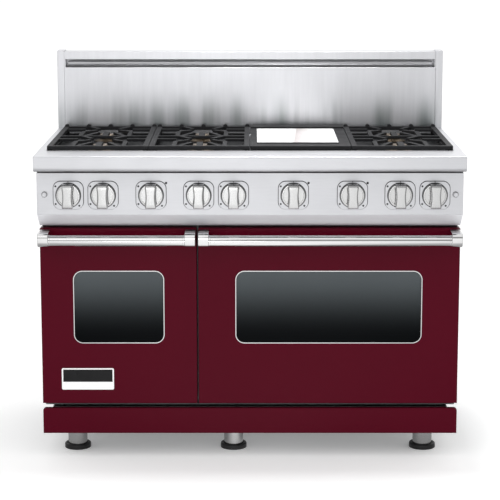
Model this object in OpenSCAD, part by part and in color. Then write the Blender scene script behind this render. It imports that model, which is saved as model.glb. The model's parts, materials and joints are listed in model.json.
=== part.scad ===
// Freestanding gas range with two ovens, six burners and a griddle.
// Millimetres, +Z up. The origin is on the floor under the centre of the range:
// +X is to the user's right, -Y is towards the user.
// Depths are written as v, the distance behind the front of the landing ledge.

/* [Overall] */
// Width over the ledge and the backguard
range_w = 1216; // [1010:1:1500]
// Depth from the front of the ledge to the back of the backguard
range_d = 711; // [590:1:860]
// Height of the cooktop rim above the floor
cooktop_h = 906; // [755:1:1100]
// Clear height under the kick plate
leg_h = 72; // [60:1:110]
// Height of the backguard above the cooktop rim
backguard_h = 243; // [120:1:400]
// Thickness of the sheet metal
sheet = 2; // [1.5:0.1:3]

/* [Ledge and control panel] */
// Depth of the ledge's flat top
ledge_d = 115; // [95:1:140]
// Height of the ledge's front face
ledge_h = 45; // [35:1:60]
// Overhang of the ledge in front of the control panel
ledge_overhang = 63; // [50:1:75]
// Shadow gap between the ledge and the control panel
panel_gap = 11; // [6:1:20]
// Height of the control panel's face
panel_h = 121; // [105:1:160]
// Drop of the sloped lip under the panel
lip_drop = 40; // [25:1:55]
// Set-back of the sloped lip from the panel's face
lip_run = 54; // [40:1:62]

/* [Knobs and buttons] */
// Diameter of a knob's skirt
knob_d = 70; // [56:1:86]
// Width of a knob's grip
grip_w = 35; // [24:1:40]
// Distance from the panel's face to the front of a grip
knob_reach = 41; // [30:1:50]
// Border of the bezel around a knob
bezel_border = 9; // [6:1:12]
// Radius of a bezel's corners
bezel_r = 22; // [12:1:30]
// Radius of the valve stems
stem_r = 4; // [3:0.1:5]
// Radius of a push button
button_r = 6.24; // [4:0.01:8]
// Travel of a push button
button_travel = 3; // [2:0.1:4]

/* [Doors] */
// Width of the left door
left_door_w = 452; // [376:1:560]
// Gap between the two doors
door_gap = 4.4; // [3:0.1:8]
// Thickness of a door
door_t = 44; // [38:1:54]
// Set-back of the doors' fronts behind the ledge's front
door_set_back = 100; // [90:1:110]
// Sheet left of and right of the left window
left_window_margin = 97; // [60:1:130]
// Sheet left of and right of the right window
right_window_margin = 110; // [60:1:150]
// Sheet under the windows
window_sill = 183; // [150:1:200]
// Sheet over the windows
window_head = 127; // [110:1:140]
// Radius of the window corners
window_r = 24; // [10:1:28]
// Diameter of the handle bars
handle_d = 32; // [25:1:39]
// Clear finger gap behind the handle bars
finger_gap = 40; // [30:1:45]
// Width of a handle bracket
bracket_w = 30; // [20:1:40]
// Radius of the hinge pins
hinge_pin_r = 4; // [3:0.1:5]

/* [Cooktop] */
// Height of the grates above the cooktop rim
grate_rise = 12; // [8:1:20]
// Width of a grate bar
bar_w = 13; // [10:1:16]
// Depth of the recess in the cooktop
recess_h = 20; // [15:1:24]
// Radius of a burner cap
cap_r = 25; // [18:1:30]

/* [Kick plate and feet] */
// Height of the kick plate
kick_h = 76; // [60:1:90]
// Radius of a leg sleeve
sleeve_r = 28.5; // [24:0.5:34]
// Radius of a foot's base
foot_r = 39; // [32:1:46]
// Radius of a foot's stem
foot_stem_r = 12; // [9:0.5:15]
// How far the feet screw out
foot_travel = 50; // [20:1:55]

/* [Hidden] */
$fn = 48;

// Fits and clearances
run_fit = 0.06;      // radial clearance of a shaft that turns or slides in a hole
rest_gap = 0.4;      // gap under a piece that can be lifted or slid
swing_gap = 2.2;     // gap between a swinging door and the kick plate
slot_gap = 1.5;      // gap each side of a hinge lug in its slot
grate_gap = 1.5;     // gap between neighbouring grates

// Heights, from the cooktop down and from the floor up
ledge_z0 = cooktop_h - ledge_h;
panel_z1 = ledge_z0 - panel_gap;
panel_z0 = panel_z1 - panel_h;
lip_z0 = panel_z0 - lip_drop;
kick_z1 = leg_h + kick_h;
backguard_z1 = cooktop_h + backguard_h;
recess_z = cooktop_h - recess_h;
wall_z1 = recess_z - sheet;
grate_z1 = cooktop_h + grate_rise;

// Depths
panel_v = ledge_overhang;
door_v = door_set_back;
gasket_h = 6.4;
gasket_gap = 0.6;
frame_v = door_v + door_t + gasket_h + gasket_gap;
backguard_d = 61;
backguard_v = range_d - backguard_d;
rear_v = range_d - 23;
cavity_v1 = range_d - 91;
lip_v = panel_v + lip_run;

// Half widths
half_w = range_w / 2;
side_x = half_w - 4;
base_x = half_w - 28;
wall_x = side_x - sheet;

// Doors and their hinges
door_edge = half_w - 2;
hinge_rise = 18;
hinge_back = 26;
hinge_v = frame_v - hinge_back;
swing_r = sqrt(pow(hinge_v - door_v, 2) + pow(hinge_rise, 2));
door_z0 = kick_z1 + swing_r - hinge_rise + swing_gap;
door_z1 = lip_z0 - 6;
hinge_z = door_z0 + hinge_rise;
left_x = [-door_edge, -door_edge + left_door_w];
right_x = [-door_edge + left_door_w + door_gap, door_edge];
skin_d = door_t - 12;
liner_rise = 4;
lug_w = 8;
lug_r = 9;
lug_inset = 45;
window_z = [door_z0 + window_sill, door_z1 - window_head];
trim_w = 3;
trim_proud = 1.2;
glass_t = 4;
glass_lap = 8;

// Handles
handle_r = handle_d / 2;
handle_v = door_v - finger_gap - handle_r;
handle_z = door_z1 - 26;
bracket_z = [handle_z - handle_r - 1, handle_z + handle_r + 8];
bracket_inset = 2;

// Ovens
oven_margin = 70;
oven_z = [door_z0 + 37, door_z1 - 93];
left_cavity = [left_x[0] + oven_margin, left_x[1] - oven_margin];
right_cavity = [right_x[0] + oven_margin, right_x[1] - oven_margin];
rack_levels = 4;
guide_w = 10;
guide_t = 3;
guide_post = 3;
rack_r = 3.5;
cross_r = 3;
wire_r = 2.2;
rack_travel = 20;
rack_v = [frame_v + rack_travel + 12, cavity_v1 - 12];

// Knobs, from the panel's two ends inwards
bezel_w = knob_d + 2 * bezel_border;
bezel_h = bezel_w - 5;
bezel_t = 3;
pair_pitch = bezel_w + 11;
ring_r = button_r + 2.3;
button_x = half_w - 23;
end_room = ring_r + bezel_w / 2 + pair_pitch / 2;
pair_left = -(button_x - end_room - 15.5);
pair_right = button_x - end_room - 6.5;
knob_z = panel_z0 + 57;
function station(share) = pair_left + share * (pair_right - pair_left);
knob_x = [
    pair_left - pair_pitch / 2, pair_left + pair_pitch / 2,
    station(0.197),
    station(0.393) - pair_pitch / 2, station(0.393) + pair_pitch / 2,
    station(0.626),
    station(0.804),
    pair_right - pair_pitch / 2, pair_right + pair_pitch / 2
];
lamp_knobs = [2, 5, 6];
lamp_r = 3.2;
lamp_gap = 0.9;
lamp_turn = 36.4;    // from a bezel corner's centre out to its lamp, above the horizontal
lamp_reach = bezel_r + lamp_r + lamp_gap;
lamp_z = knob_z + bezel_h / 2 - bezel_r + lamp_reach * sin(lamp_turn);
function lamp_x(i) = knob_x[i] + bezel_w / 2 - bezel_r + lamp_reach * cos(lamp_turn);
stem_v0 = panel_v - 15;
skirt_back = panel_v - bezel_t - 0.6;
skirt_t = 7.4;

// Cooktop
rim_w = 22;
grate_margin = 2;
grate_v = [ledge_d + 14, backguard_v - 39];
grate_pitch = (range_w - 2 * (rim_w + grate_margin)) / 4;
grate_w = grate_pitch - grate_gap;
grate_x = [for (i = [0 : 3]) (i - 1.5) * grate_pitch];
mid_rail_v = grate_v[0] + 0.49 * (grate_v[1] - grate_v[0]);
burner_v = [(grate_v[0] + mid_rail_v) / 2, (mid_rail_v + grate_v[1]) / 2];
burner_x = [grate_x[0], grate_x[1], grate_x[3]];
bar_h = grate_rise - 1;
finger_h = bar_h - 3;
cap_h = 6;
cap_z1 = grate_z1 - finger_h - 2;

// Gas pipes
pipe_r = 11;
nipple_r = 10.65;
pipe_v = panel_v + 49;
pipe_x = half_w - 40;
pipe_drop_v = rear_v - 18;
inlet_z = kick_z1 + 60;
gland_x = -half_w + 120;

// Legs
leg_x = [-half_w + 92, -49 * range_w / 1216, half_w - 92];
leg_v = [frame_v + 53, rear_v - 60];
foot_h = 10;
foot_top = 13.6;
sleeve_z0 = foot_top + rest_gap;
base_v = [frame_v - 21, rear_v - 8];
frame_t = 3;

// ---- helpers ----

module placed() {
    translate([0, -range_d / 2, 0]) children();
}

module block(lo, hi) {
    translate(lo) cube(hi - lo);
}

// An outline in depth and height, drawn out along the width
module along_x(x0, x1) {
    translate([x0, 0, 0]) rotate([90, 0, 90]) linear_extrude(x1 - x0) children();
}

// An outline in width and height, drawn out along the depth
module along_v(v0, v1) {
    translate([0, v1, 0]) rotate([90, 0, 0]) linear_extrude(v1 - v0) children();
}

module rod_x(x0, x1, v, z, r) {
    translate([x0, v, z]) rotate([0, 90, 0]) cylinder(h = x1 - x0, r = r);
}

module rod_v(x, v0, v1, z, r) {
    translate([x, v1, z]) rotate([90, 0, 0]) cylinder(h = v1 - v0, r = r);
}

module rod_z(x, v, z0, z1, r) {
    translate([x, v, z0]) cylinder(h = z1 - z0, r = r);
}

module both_sides() {
    children();
    mirror([1, 0, 0]) children();
}

// A rectangle from lo to hi with four round corners
module round_rect(lo, hi, r) {
    translate([lo[0] + r, lo[1]]) square([hi[0] - lo[0] - 2 * r, hi[1] - lo[1]]);
    translate([lo[0], lo[1] + r]) square([hi[0] - lo[0], hi[1] - lo[1] - 2 * r]);
    for (x = [lo[0] + r, hi[0] - r], y = [lo[1] + r, hi[1] - r])
        translate([x, y]) circle(r);
}

// What a round corner of radius r leaves of a square one
module corner_waste(r) {
    difference() {
        translate([-1, -1]) square(r + 1);
        translate([r, r]) circle(r);
    }
}

// A rectangle in depth and height whose two front corners are round
module nose_outline(v0, v1, z0, z1, low_r, top_r) {
    difference() {
        translate([v0, z0]) square([v1 - v0, z1 - z0]);
        translate([v0, z0]) corner_waste(low_r);
        translate([v0, z1]) mirror([0, 1]) corner_waste(top_r);
    }
}

// A flat bar on the grates' level from one point to another, in width and depth
module grate_bar(from, to, w = bar_w) {
    run = to - from;
    translate([from[0], from[1], grate_z1 - finger_h])
        rotate([0, 0, atan2(run[1], run[0])])
            translate([0, -w / 2, 0]) cube([norm(run), w, finger_h]);
}

function lug_places(door) = [door[0] + lug_inset, door[1] - lug_inset];

function rail_top(level) =
    oven_z[0] + (oven_z[1] - oven_z[0]) * (0.12 + 0.76 * level / (rack_levels - 1));

// ---- frame and casing ----

module base_frame() {
    color("dimgray") placed() difference() {
        union() {
            difference() {
                block([-base_x, base_v[0], leg_h], [base_x, base_v[1], kick_z1 - frame_t]);
                block(
                    [-base_x + frame_t, base_v[0] + frame_t, leg_h + frame_t],
                    [base_x - frame_t, base_v[1] - frame_t, kick_z1]
                );
            }
            block([-side_x, frame_v, kick_z1 - frame_t], [side_x, rear_v + sheet, kick_z1]);
            for (x = [-0.3, 0, 0.3])
                block(
                    [x * range_w - 15, door_v + sheet, leg_h + 15],
                    [x * range_w + 15, base_v[0], kick_z1 - 15]
                );
        }
        for (x = leg_x, v = [0.4, 0.6])
            rod_z(
                x, base_v[0] + v * (base_v[1] - base_v[0]),
                kick_z1 - frame_t - 1, kick_z1 + 1, 12
            );
        for (x = leg_x, v = leg_v)
            rod_z(x, v, leg_h - 1, leg_h + frame_t + 1, foot_stem_r + 1);
    }
}

module side_panels() {
    color("lightgray") placed() both_sides() {
        block([wall_x, frame_v, kick_z1], [side_x, rear_v + sheet, wall_z1]);
        block([base_x, frame_v, wall_z1 - sheet], [side_x, rear_v + sheet, wall_z1]);
    }
}

function rear_screw_points() = [
    for (x = [-1, -0.36, 0.36, 1], z = [0, 1])
        [x * (wall_x - 15), z == 0 ? kick_z1 + 15 : wall_z1 - 25]
];

module rear_panel() {
    color("silver") placed() difference() {
        block([-wall_x, rear_v, kick_z1], [wall_x, rear_v + sheet, wall_z1 - sheet]);
        rod_v(pipe_x, rear_v - 1, rear_v + sheet + 1, inlet_z, pipe_r + 2);
        rod_v(gland_x, rear_v - 1, rear_v + sheet + 1, inlet_z, 11.05);
        for (p = rear_screw_points())
            rod_v(p[0], rear_v - 1, rear_v + sheet + 1, p[1], 2.1);
    }
}

module hinge_lug(x) {
    difference() {
        along_x(x - lug_w / 2, x + lug_w / 2) {
            translate([hinge_v, hinge_z]) circle(lug_r);
            translate([hinge_v, hinge_z - lug_r]) square([hinge_back + sheet / 2, 2 * lug_r]);
        }
        rod_x(x - lug_w, x + lug_w, hinge_v, hinge_z, hinge_pin_r + run_fit);
    }
}

module front_frame() {
    color("silver") placed() {
        difference() {
            block([-wall_x, frame_v, kick_z1], [wall_x, frame_v + sheet, panel_z1 + 10]);
            for (c = [left_cavity, right_cavity])
                block(
                    [c[0] - sheet, frame_v - 1, oven_z[0] - sheet],
                    [c[1] + sheet, frame_v + sheet + 1, oven_z[1] + sheet]
                );
            rod_v(pipe_x, frame_v - 1, frame_v + sheet + 1, knob_z, pipe_r + 1.5);
        }
        for (x = concat(lug_places(left_x), lug_places(right_x)))
            hinge_lug(x);
    }
}

// ---- ovens ----

module oven_liner(c) {
    color("darkslategray") placed() {
        difference() {
            block(
                [c[0] - sheet, frame_v, oven_z[0] - sheet],
                [c[1] + sheet, cavity_v1 + sheet, oven_z[1] + sheet]
            );
            block([c[0], frame_v - 1, oven_z[0]], [c[1], cavity_v1, oven_z[1]]);
        }
        difference() {
            block(
                [c[0] - 15, frame_v + sheet, oven_z[0] - 15],
                [c[1] + 15, frame_v + 2 * sheet, oven_z[1] + 15]
            );
            block(
                [c[0] - 1, frame_v, oven_z[0] - 1],
                [c[1] + 1, frame_v + 3 * sheet, oven_z[1] + 1]
            );
        }
    }
}

module rack_guides() {
    color("silver") placed() for (c = [left_cavity, right_cavity], side = [0, 1]) {
        x0 = side == 0 ? c[0] : c[1] - guide_w;
        post_x0 = side == 0 ? c[0] : c[1] - guide_post;
        for (level = [0 : rack_levels - 1])
            block(
                [x0, frame_v + 12, rail_top(level) - guide_t],
                [x0 + guide_w, cavity_v1 - 8, rail_top(level)]
            );
        for (v = [frame_v + 40, cavity_v1 - 60])
            block(
                [post_x0, v, rail_top(0) - 12],
                [post_x0 + guide_post, v + 12, rail_top(rack_levels - 1) + 12]
            );
    }
}

module rack(c, level) {
    x = [c[0] + guide_post + 1.5, c[1] - guide_post - 1.5];
    z = rail_top(level) + rest_gap + rack_r;
    wires = floor((x[1] - x[0]) / 26);
    color("lightgray") placed() {
        for (side = x)
            rod_v(side + (side == x[0] ? rack_r : -rack_r), rack_v[0], rack_v[1], z, rack_r);
        for (v = [rack_v[0] + 6, rack_v[1] - 6, (rack_v[0] + rack_v[1]) / 2])
            rod_x(x[0] + rack_r, x[1] - rack_r, v, z, cross_r);
        for (i = [1 : wires - 1])
            rod_v(x[0] + i * (x[1] - x[0]) / wires, rack_v[0] + 6, rack_v[1] - 6, z, wire_r);
    }
}

module oven_burners() {
    color("gray") placed() for (c = [left_cavity, right_cavity]) {
        count = c[1] - c[0] > 450 ? 2 : 1;
        for (i = [1 : count]) {
            x = c[0] + i * (c[1] - c[0]) / (count + 1);
            z = (kick_z1 + oven_z[0]) / 2;
            rod_v(x, frame_v + 65, cavity_v1 - 60, z, 13);
            for (v = [frame_v + 20, cavity_v1 - 30])
                block([x - 20, v, kick_z1], [x + 20, v + 16, z + 16]);
            rod_v(x, frame_v + 20, cavity_v1 - 20, z, 6);
        }
    }
}

module oven_gaskets() {
    color("dimgray") placed() for (c = [left_cavity, right_cavity])
        along_v(door_v + door_t + gasket_gap, frame_v) difference() {
            round_rect([c[0] - 15, oven_z[0] - 15], [c[1] + 15, oven_z[1] + 15], 18);
            round_rect([c[0] - 3, oven_z[0] - 3], [c[1] + 3, oven_z[1] + 3], 8);
        }
}

// ---- front of the range ----

module kick_plate() {
    color("maroon") placed() difference() {
        along_v(door_v, door_v + 14) {
            round_rect([-door_edge, leg_h], [door_edge, kick_z1], 8);
            translate([-door_edge, leg_h]) square([2 * door_edge, kick_h / 2]);
        }
        along_v(door_v + sheet, door_v + 15)
            round_rect(
                [-door_edge + sheet, leg_h + sheet], [door_edge - sheet, kick_z1 - sheet], 6
            );
    }
}

module panel_outline(inset) {
    polygon([
        [panel_v + inset, panel_z1 - inset], [panel_v + inset, panel_z0 + inset / 2],
        [lip_v + inset / 2, lip_z0 + inset], [frame_v + inset, lip_z0 + inset],
        [frame_v + inset, panel_z1 - inset]
    ]);
}

module control_panel() {
    color("gainsboro") placed() difference() {
        along_x(-half_w + 1, half_w - 1) intersection() {
            panel_outline(0);
            translate([0, 0]) square([frame_v, panel_z1]);
        }
        along_x(-half_w + 1 + sheet, half_w - 1 - sheet) panel_outline(sheet);
        for (x = knob_x)
            rod_v(x, panel_v - 1, panel_v + sheet + 1, knob_z, stem_r + 3);
        for (x = [-button_x, button_x])
            rod_v(x, panel_v - 1, panel_v + sheet + 1, knob_z + 2, button_r + run_fit);
        for (i = lamp_knobs)
            rod_v(lamp_x(i), panel_v - 1, panel_v + sheet + 1, lamp_z, lamp_r);
    }
}

module knob_bezels() {
    color("silver") placed() {
        for (x = knob_x)
            along_v(panel_v - bezel_t, panel_v) difference() {
                round_rect(
                    [x - bezel_w / 2, knob_z - bezel_h / 2],
                    [x + bezel_w / 2, knob_z + bezel_h / 2], bezel_r
                );
                translate([x, knob_z]) circle(stem_r + 3);
            }
        for (x = [-button_x, button_x])
            along_v(panel_v - bezel_t, panel_v) difference() {
                translate([x, knob_z + 2]) circle(ring_r);
                translate([x, knob_z + 2]) circle(button_r + run_fit);
            }
    }
}

module indicator_lamps() {
    color("black") placed() for (i = lamp_knobs) {
        rod_v(lamp_x(i), panel_v - 1.5, panel_v + sheet + 8, lamp_z, lamp_r);
        translate([lamp_x(i), panel_v - 1.5, lamp_z]) rotate([90, 0, 0]) rotate_extrude()
            intersection() {
                circle(lamp_r);
                square(lamp_r);
            }
    }
}

module gas_manifold() {
    color("goldenrod") placed() {
        rod_x(knob_x[0] - 20, pipe_x, pipe_v, knob_z, pipe_r);
        for (x = knob_x) {
            rod_v(x, panel_v + 17, pipe_v, knob_z, 12);
            rod_v(x, stem_v0, panel_v + 18, knob_z, stem_r);
        }
        translate([pipe_x, pipe_v, knob_z]) sphere(pipe_r);
        rod_v(pipe_x, pipe_v, pipe_drop_v, knob_z, pipe_r);
        translate([pipe_x, pipe_drop_v, knob_z]) sphere(pipe_r);
        rod_z(pipe_x, pipe_drop_v, inlet_z, knob_z, pipe_r);
        translate([pipe_x, pipe_drop_v, inlet_z]) sphere(pipe_r);
        rod_v(pipe_x, pipe_drop_v, range_d - 20, inlet_z, pipe_r);
        rod_v(pipe_x, range_d - 20, range_d, inlet_z, nipple_r);
    }
}

module landing_ledge() {
    leg_v0 = panel_v + 15;
    color("gainsboro") placed() {
        along_x(-half_w, half_w) difference() {
            nose_outline(0, ledge_d, ledge_z0, cooktop_h, 13, 5);
            nose_outline(
                sheet, ledge_d + 1, ledge_z0 + sheet, cooktop_h - sheet,
                13 - sheet, 5 - sheet
            );
            translate([leg_v0 + sheet, ledge_z0 - 1]) square([ledge_d, sheet + 2]);
        }
        along_x(-half_w, half_w)
            translate([leg_v0, panel_z1]) square([sheet, panel_gap + sheet]);
        both_sides() along_x(half_w - sheet, half_w)
            nose_outline(0, ledge_d, ledge_z0, cooktop_h, 13, 5);
    }
}

// ---- cooktop ----

module cooktop_pan() {
    pan_x = half_w - rim_w;
    pan_v = [ledge_d + 7, backguard_v - 10];
    color("gainsboro") placed() difference() {
        block([-half_w, ledge_d, ledge_z0], [half_w, backguard_v, cooktop_h]);
        block([-pan_x, pan_v[0], recess_z], [pan_x, pan_v[1], cooktop_h + 1]);
        difference() {
            block(
                [-half_w + sheet, ledge_d + sheet, ledge_z0 - 1],
                [half_w - sheet, backguard_v - sheet, cooktop_h - sheet]
            );
            block(
                [-pan_x - sheet, pan_v[0] - sheet, recess_z - sheet],
                [pan_x + sheet, pan_v[1] + sheet, cooktop_h]
            );
        }
        block(
            [-half_w + sheet, backguard_v - 2 * sheet, ledge_z0 - 1],
            [half_w - sheet, backguard_v + 1, wall_z1]
        );
        for (x = burner_x, v = burner_v)
            rod_z(x, v, recess_z - sheet - 1, recess_z + 1, 12);
    }
}

module burner_bases() {
    color("darkgoldenrod") placed() for (x = burner_x, v = burner_v) difference() {
        union() {
            rod_z(x, v, recess_z - 20, recess_z, 11.8);
            rod_z(x, v, recess_z, recess_z + 3, 40);
            rod_z(x, v, recess_z + 3, cap_z1 - cap_h, cap_r - 1);
        }
        rod_z(x, v, recess_z + 9, cap_z1, cap_r - 5);
    }
}

module burner_caps() {
    color("goldenrod") placed() for (x = burner_x, v = burner_v)
        translate([x, v, cap_z1 - cap_h]) rotate_extrude() difference() {
            square([cap_r, cap_h]);
            translate([cap_r, cap_h]) mirror([1, 1]) corner_waste(2.5);
        }
}

module grate(section) {
    x = grate_x[section];
    half = grate_w / 2;
    rail = (bar_w + 3) / 2;
    quarter = grate_pitch / 4;
    v0 = grate_v[0];
    v1 = grate_v[1];
    color("darkslategray") placed() {
        difference() {
            block([x - half, v0, grate_z1 - bar_h], [x + half, v1, grate_z1]);
            block(
                [x - half + 2 * rail, v0 + 2 * rail, grate_z1 - bar_h - 1],
                [x + half - 2 * rail, v1 - 2 * rail, grate_z1 + 1]
            );
        }
        grate_bar([x - half + rail, mid_rail_v], [x + half - rail, mid_rail_v]);
        for (cell = [[v0 + rail, mid_rail_v], [mid_rail_v, v1 - rail]])
            translate([x, cell[0], 0]) grate_cell(half - rail, quarter, cell[1] - cell[0]);
        for (sx = [-1, 1], v = [v0 + rail, v1 - rail])
            rod_z(x + sx * (half - rail), v, recess_z + rest_gap, grate_z1 - 1, rail - 1);
        for (i = [-2 : 2])
            rod_v(x + i * (half - rail) / 2, v1 - 2 * rail, v1, grate_z1, rail - 1);
    }
}

// The fingers of one cell: it runs from its front rail, at 0, back to depth
module grate_cell(half, quarter, depth) {
    bend = 0.46 * depth;
    for (s = [-1, 1]) {
        grate_bar([s * half, 0.71 * depth], [s * quarter, 0.71 * depth]);
        grate_bar([s * quarter, 0], [s * quarter, bend]);
        grate_bar([s * quarter, bend], [s * 0.48 * quarter, bend + 0.16 * depth]);
        grate_bar([s * 0.84 * quarter, 0], [s * 0.36 * quarter, 0.37 * depth]);
        grate_bar([s * 0.9 * quarter, depth], [s * 0.44 * quarter, 0.76 * depth]);
    }
    grate_bar([0, 0], [0, 0.4 * depth], 18);
}

// The griddle sits in the third section from the left
griddle_x = grate_x[2];
plate_x = [griddle_x - grate_w / 2 + 20, griddle_x + grate_w / 2 - 32];
plate_v = [grate_v[0] + 86, grate_v[1] - 68];
plate_t = 5;

module griddle_frame() {
    half = grate_w / 2;
    color("darkslategray") placed() difference() {
        union() {
            block(
                [griddle_x - half, grate_v[0], recess_z],
                [griddle_x + half, grate_v[1], grate_z1]
            );
            block(
                [griddle_x - half, plate_v[1] + 8, recess_z],
                [griddle_x + half, grate_v[1], grate_z1 + 5]
            );
        }
        block(
            [plate_x[0] - 1, plate_v[0] - 1, grate_z1 - plate_t - rest_gap],
            [plate_x[1] + 1, plate_v[1] + 1, grate_z1 + 6]
        );
        block(
            [plate_x[0] + 10, plate_v[0] + 10, recess_z + 3],
            [plate_x[1] - 10, plate_v[1] - 10, grate_z1]
        );
        block(
            [plate_x[0], plate_v[0] - 28, grate_z1 - 14],
            [plate_x[1], plate_v[0] - 4, grate_z1 + 1]
        );
    }
}

module griddle_plate() {
    color("whitesmoke") placed()
        block(
            [plate_x[0], plate_v[0], grate_z1 - plate_t], [plate_x[1], plate_v[1], grate_z1]
        );
}

// ---- backguard ----

cap_w = 22;
slot_z = [backguard_z1 - 49.5, backguard_z1 - 24.3];

module backguard_panel() {
    edge = half_w - cap_w;
    color("gainsboro") placed() {
        difference() {
            block([-edge, backguard_v, wall_z1], [edge, backguard_v + sheet, backguard_z1]);
            block(
                [-edge + 4, backguard_v - 1, slot_z[0]],
                [edge - 4, backguard_v + sheet + 1, slot_z[1]]
            );
        }
        block(
            [-edge, backguard_v, backguard_z1 - sheet], [edge, range_d - sheet, backguard_z1]
        );
        for (z = [slot_z[0] - sheet, slot_z[1]])
            block([-edge, backguard_v, z], [edge, backguard_v + 14, z + sheet]);
    }
}

module backguard_shell() {
    edge = half_w - cap_w;
    color("silver") placed() {
        both_sides() {
            difference() {
                block([edge, backguard_v, wall_z1], [half_w, range_d, backguard_z1 + 3]);
                block(
                    [edge + sheet, backguard_v + sheet, wall_z1 - 1],
                    [half_w - sheet, range_d - sheet, backguard_z1 + 3 - sheet]
                );
            }
            block([half_w - sheet, backguard_v, ledge_z0], [half_w, range_d, wall_z1]);
        }
        block([-edge, range_d - sheet, wall_z1], [edge, range_d, backguard_z1]);
    }
}

module backguard_rail() {
    z = (slot_z[0] + slot_z[1]) / 2;
    color("gray") placed() {
        rod_x(-half_w + 34, half_w - 34, backguard_v + 12, z, 7);
        for (x = [-0.33, 0, 0.33])
            rod_v(x * range_w, backguard_v + 12, range_d - sheet, z, 3);
    }
}

// ---- legs, gland and screws ----

module leg_sleeves() {
    color("silver") placed() for (x = leg_x, v = leg_v) difference() {
        rod_z(x, v, sleeve_z0, leg_h, sleeve_r);
        rod_z(x, v, sleeve_z0 + 12, leg_h + 1, sleeve_r - 3.5);
        rod_z(x, v, sleeve_z0 - 1, leg_h, foot_stem_r + run_fit);
    }
}

module levelling_feet() {
    color("black") placed() for (x = leg_x, v = leg_v) {
        rod_z(x, v, 0, foot_h, foot_r);
        rod_z(x, v, foot_h, foot_top, foot_r - 6);
        rod_z(x, v, foot_top, sleeve_z0 + 12 + foot_travel + 8, foot_stem_r);
    }
}

module cord_gland() {
    color("black") placed() difference() {
        union() {
            rod_v(gland_x, rear_v + sheet, rear_v + sheet + 4, inlet_z, 15);
            rod_v(gland_x, rear_v - 6, rear_v + sheet + 14, inlet_z, 11);
            rod_v(gland_x, rear_v - 6, rear_v, inlet_z, 14);
        }
        rod_v(gland_x, rear_v - 7, rear_v + sheet + 15, inlet_z, 5.5);
    }
}

module screws() {
    color("silver") placed() for (p = rear_screw_points()) {
        rod_v(p[0], rear_v + sheet, rear_v + sheet + 2.5, p[1], 4.5);
        rod_v(p[0], rear_v - 6, rear_v + sheet, p[1], 2);
    }
}

// ---- doors ----

function window_x(door, margin) = [door[0] + margin, door[1] - margin];

// A window-shaped outline, grown outwards by grow
module window_outline(wx, grow) {
    round_rect(
        [wx[0] - grow, window_z[0] - grow], [wx[1] + grow, window_z[1] + grow], window_r + grow
    );
}

module door_skin(door, margin) {
    color("maroon") placed() difference() {
        block([door[0], door_v, door_z0], [door[1], door_v + skin_d, door_z1]);
        block(
            [door[0] + sheet, door_v + sheet, door_z0 + sheet],
            [door[1] - sheet, door_v + skin_d + 1, door_z1 - sheet]
        );
        along_v(door_v - 1, door_v + sheet + 1) window_outline(window_x(door, margin), trim_w);
        for (x = lug_places(door))
            block(
                [x - lug_w / 2 - slot_gap, hinge_v - lug_r - 2, door_z0 - 1],
                [x + lug_w / 2 + slot_gap, door_v + skin_d + 1, door_z0 + sheet + 1]
            );
    }
}

module window_trim(door, margin) {
    color("silver") placed()
        along_v(door_v - trim_proud, door_v + sheet) difference() {
            window_outline(window_x(door, margin), trim_w);
            window_outline(window_x(door, margin), 0);
        }
}

module door_glass(door, margin) {
    back = door_v + door_t - sheet;
    color("darkslategray") placed() {
        along_v(door_v + sheet, door_v + sheet + glass_t)
            window_outline(window_x(door, margin), glass_lap);
        along_v(back - glass_t, back) window_outline(window_x(door, margin), glass_lap);
    }
}

module door_liner(door, margin) {
    lip_v0 = door_v + skin_d;
    back = door_v + door_t;
    pan = [door[0] + 8, door[1] - 8];
    pan_z = [door_z0 + 14, door_z1 - 10];
    color("silver") placed() difference() {
        union() {
            block([door[0], lip_v0, door_z0 + liner_rise], [door[1], lip_v0 + sheet, door_z1]);
            block([pan[0], lip_v0, pan_z[0]], [pan[1], back, pan_z[1]]);
        }
        block(
            [pan[0] + sheet, lip_v0 - 1, pan_z[0] + sheet],
            [pan[1] - sheet, back - sheet, pan_z[1] - sheet]
        );
        along_v(back - sheet - 1, back + 1) window_outline(window_x(door, margin), 0);
        for (x = lug_places(door))
            block(
                [x - lug_w / 2 - slot_gap, lip_v0 - 1, door_z0],
                [x + lug_w / 2 + slot_gap, back + 1, hinge_z + lug_r + 2]
            );
    }
}

function bracket_places(door) = [
    [door[0] + bracket_inset, door[0] + bracket_inset + bracket_w],
    [door[1] - bracket_inset - bracket_w, door[1] - bracket_inset]
];

module handle_brackets(door) {
    color("silver") placed() for (b = bracket_places(door))
        along_x(b[0], b[1])
            nose_outline(
                handle_v - handle_r - 2, door_v, bracket_z[0], bracket_z[1],
                handle_r, handle_r
            );
}

module handle_bar(door) {
    b = bracket_places(door);
    color("whitesmoke") placed() difference() {
        rod_x(b[0][1], b[1][0], handle_v, handle_z, handle_r);
        rod_x(b[0][1] - 1, b[1][0] + 1, handle_v, handle_z, handle_r - 2);
    }
}

module door_hinges(door) {
    reach = lug_w / 2 + slot_gap;
    color("gray") placed() for (x = lug_places(door)) {
        for (s = [-1, 1])
            block(
                [x + (s < 0 ? -reach - 6 : reach), hinge_v - 13, door_z0 + sheet],
                [x + (s < 0 ? -reach : reach + 6), door_v + skin_d - 1, hinge_z + 18]
            );
        rod_x(x - reach - 6, x + reach + 6, hinge_v, hinge_z, hinge_pin_r);
    }
}

module nameplate() {
    lo = [left_x[0] + 57, door_z0 + 42];
    hi = lo + [152, 64];
    color("lightgray") placed() {
        along_v(door_v - 1.5, door_v) round_rect(lo, hi, 4);
        along_v(door_v - 2.5, door_v - 1) difference() {
            round_rect(lo, hi, 4);
            round_rect(lo + [4, 4], hi - [4, 4], 2);
        }
    }
}

// ---- knobs, buttons ----

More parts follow.
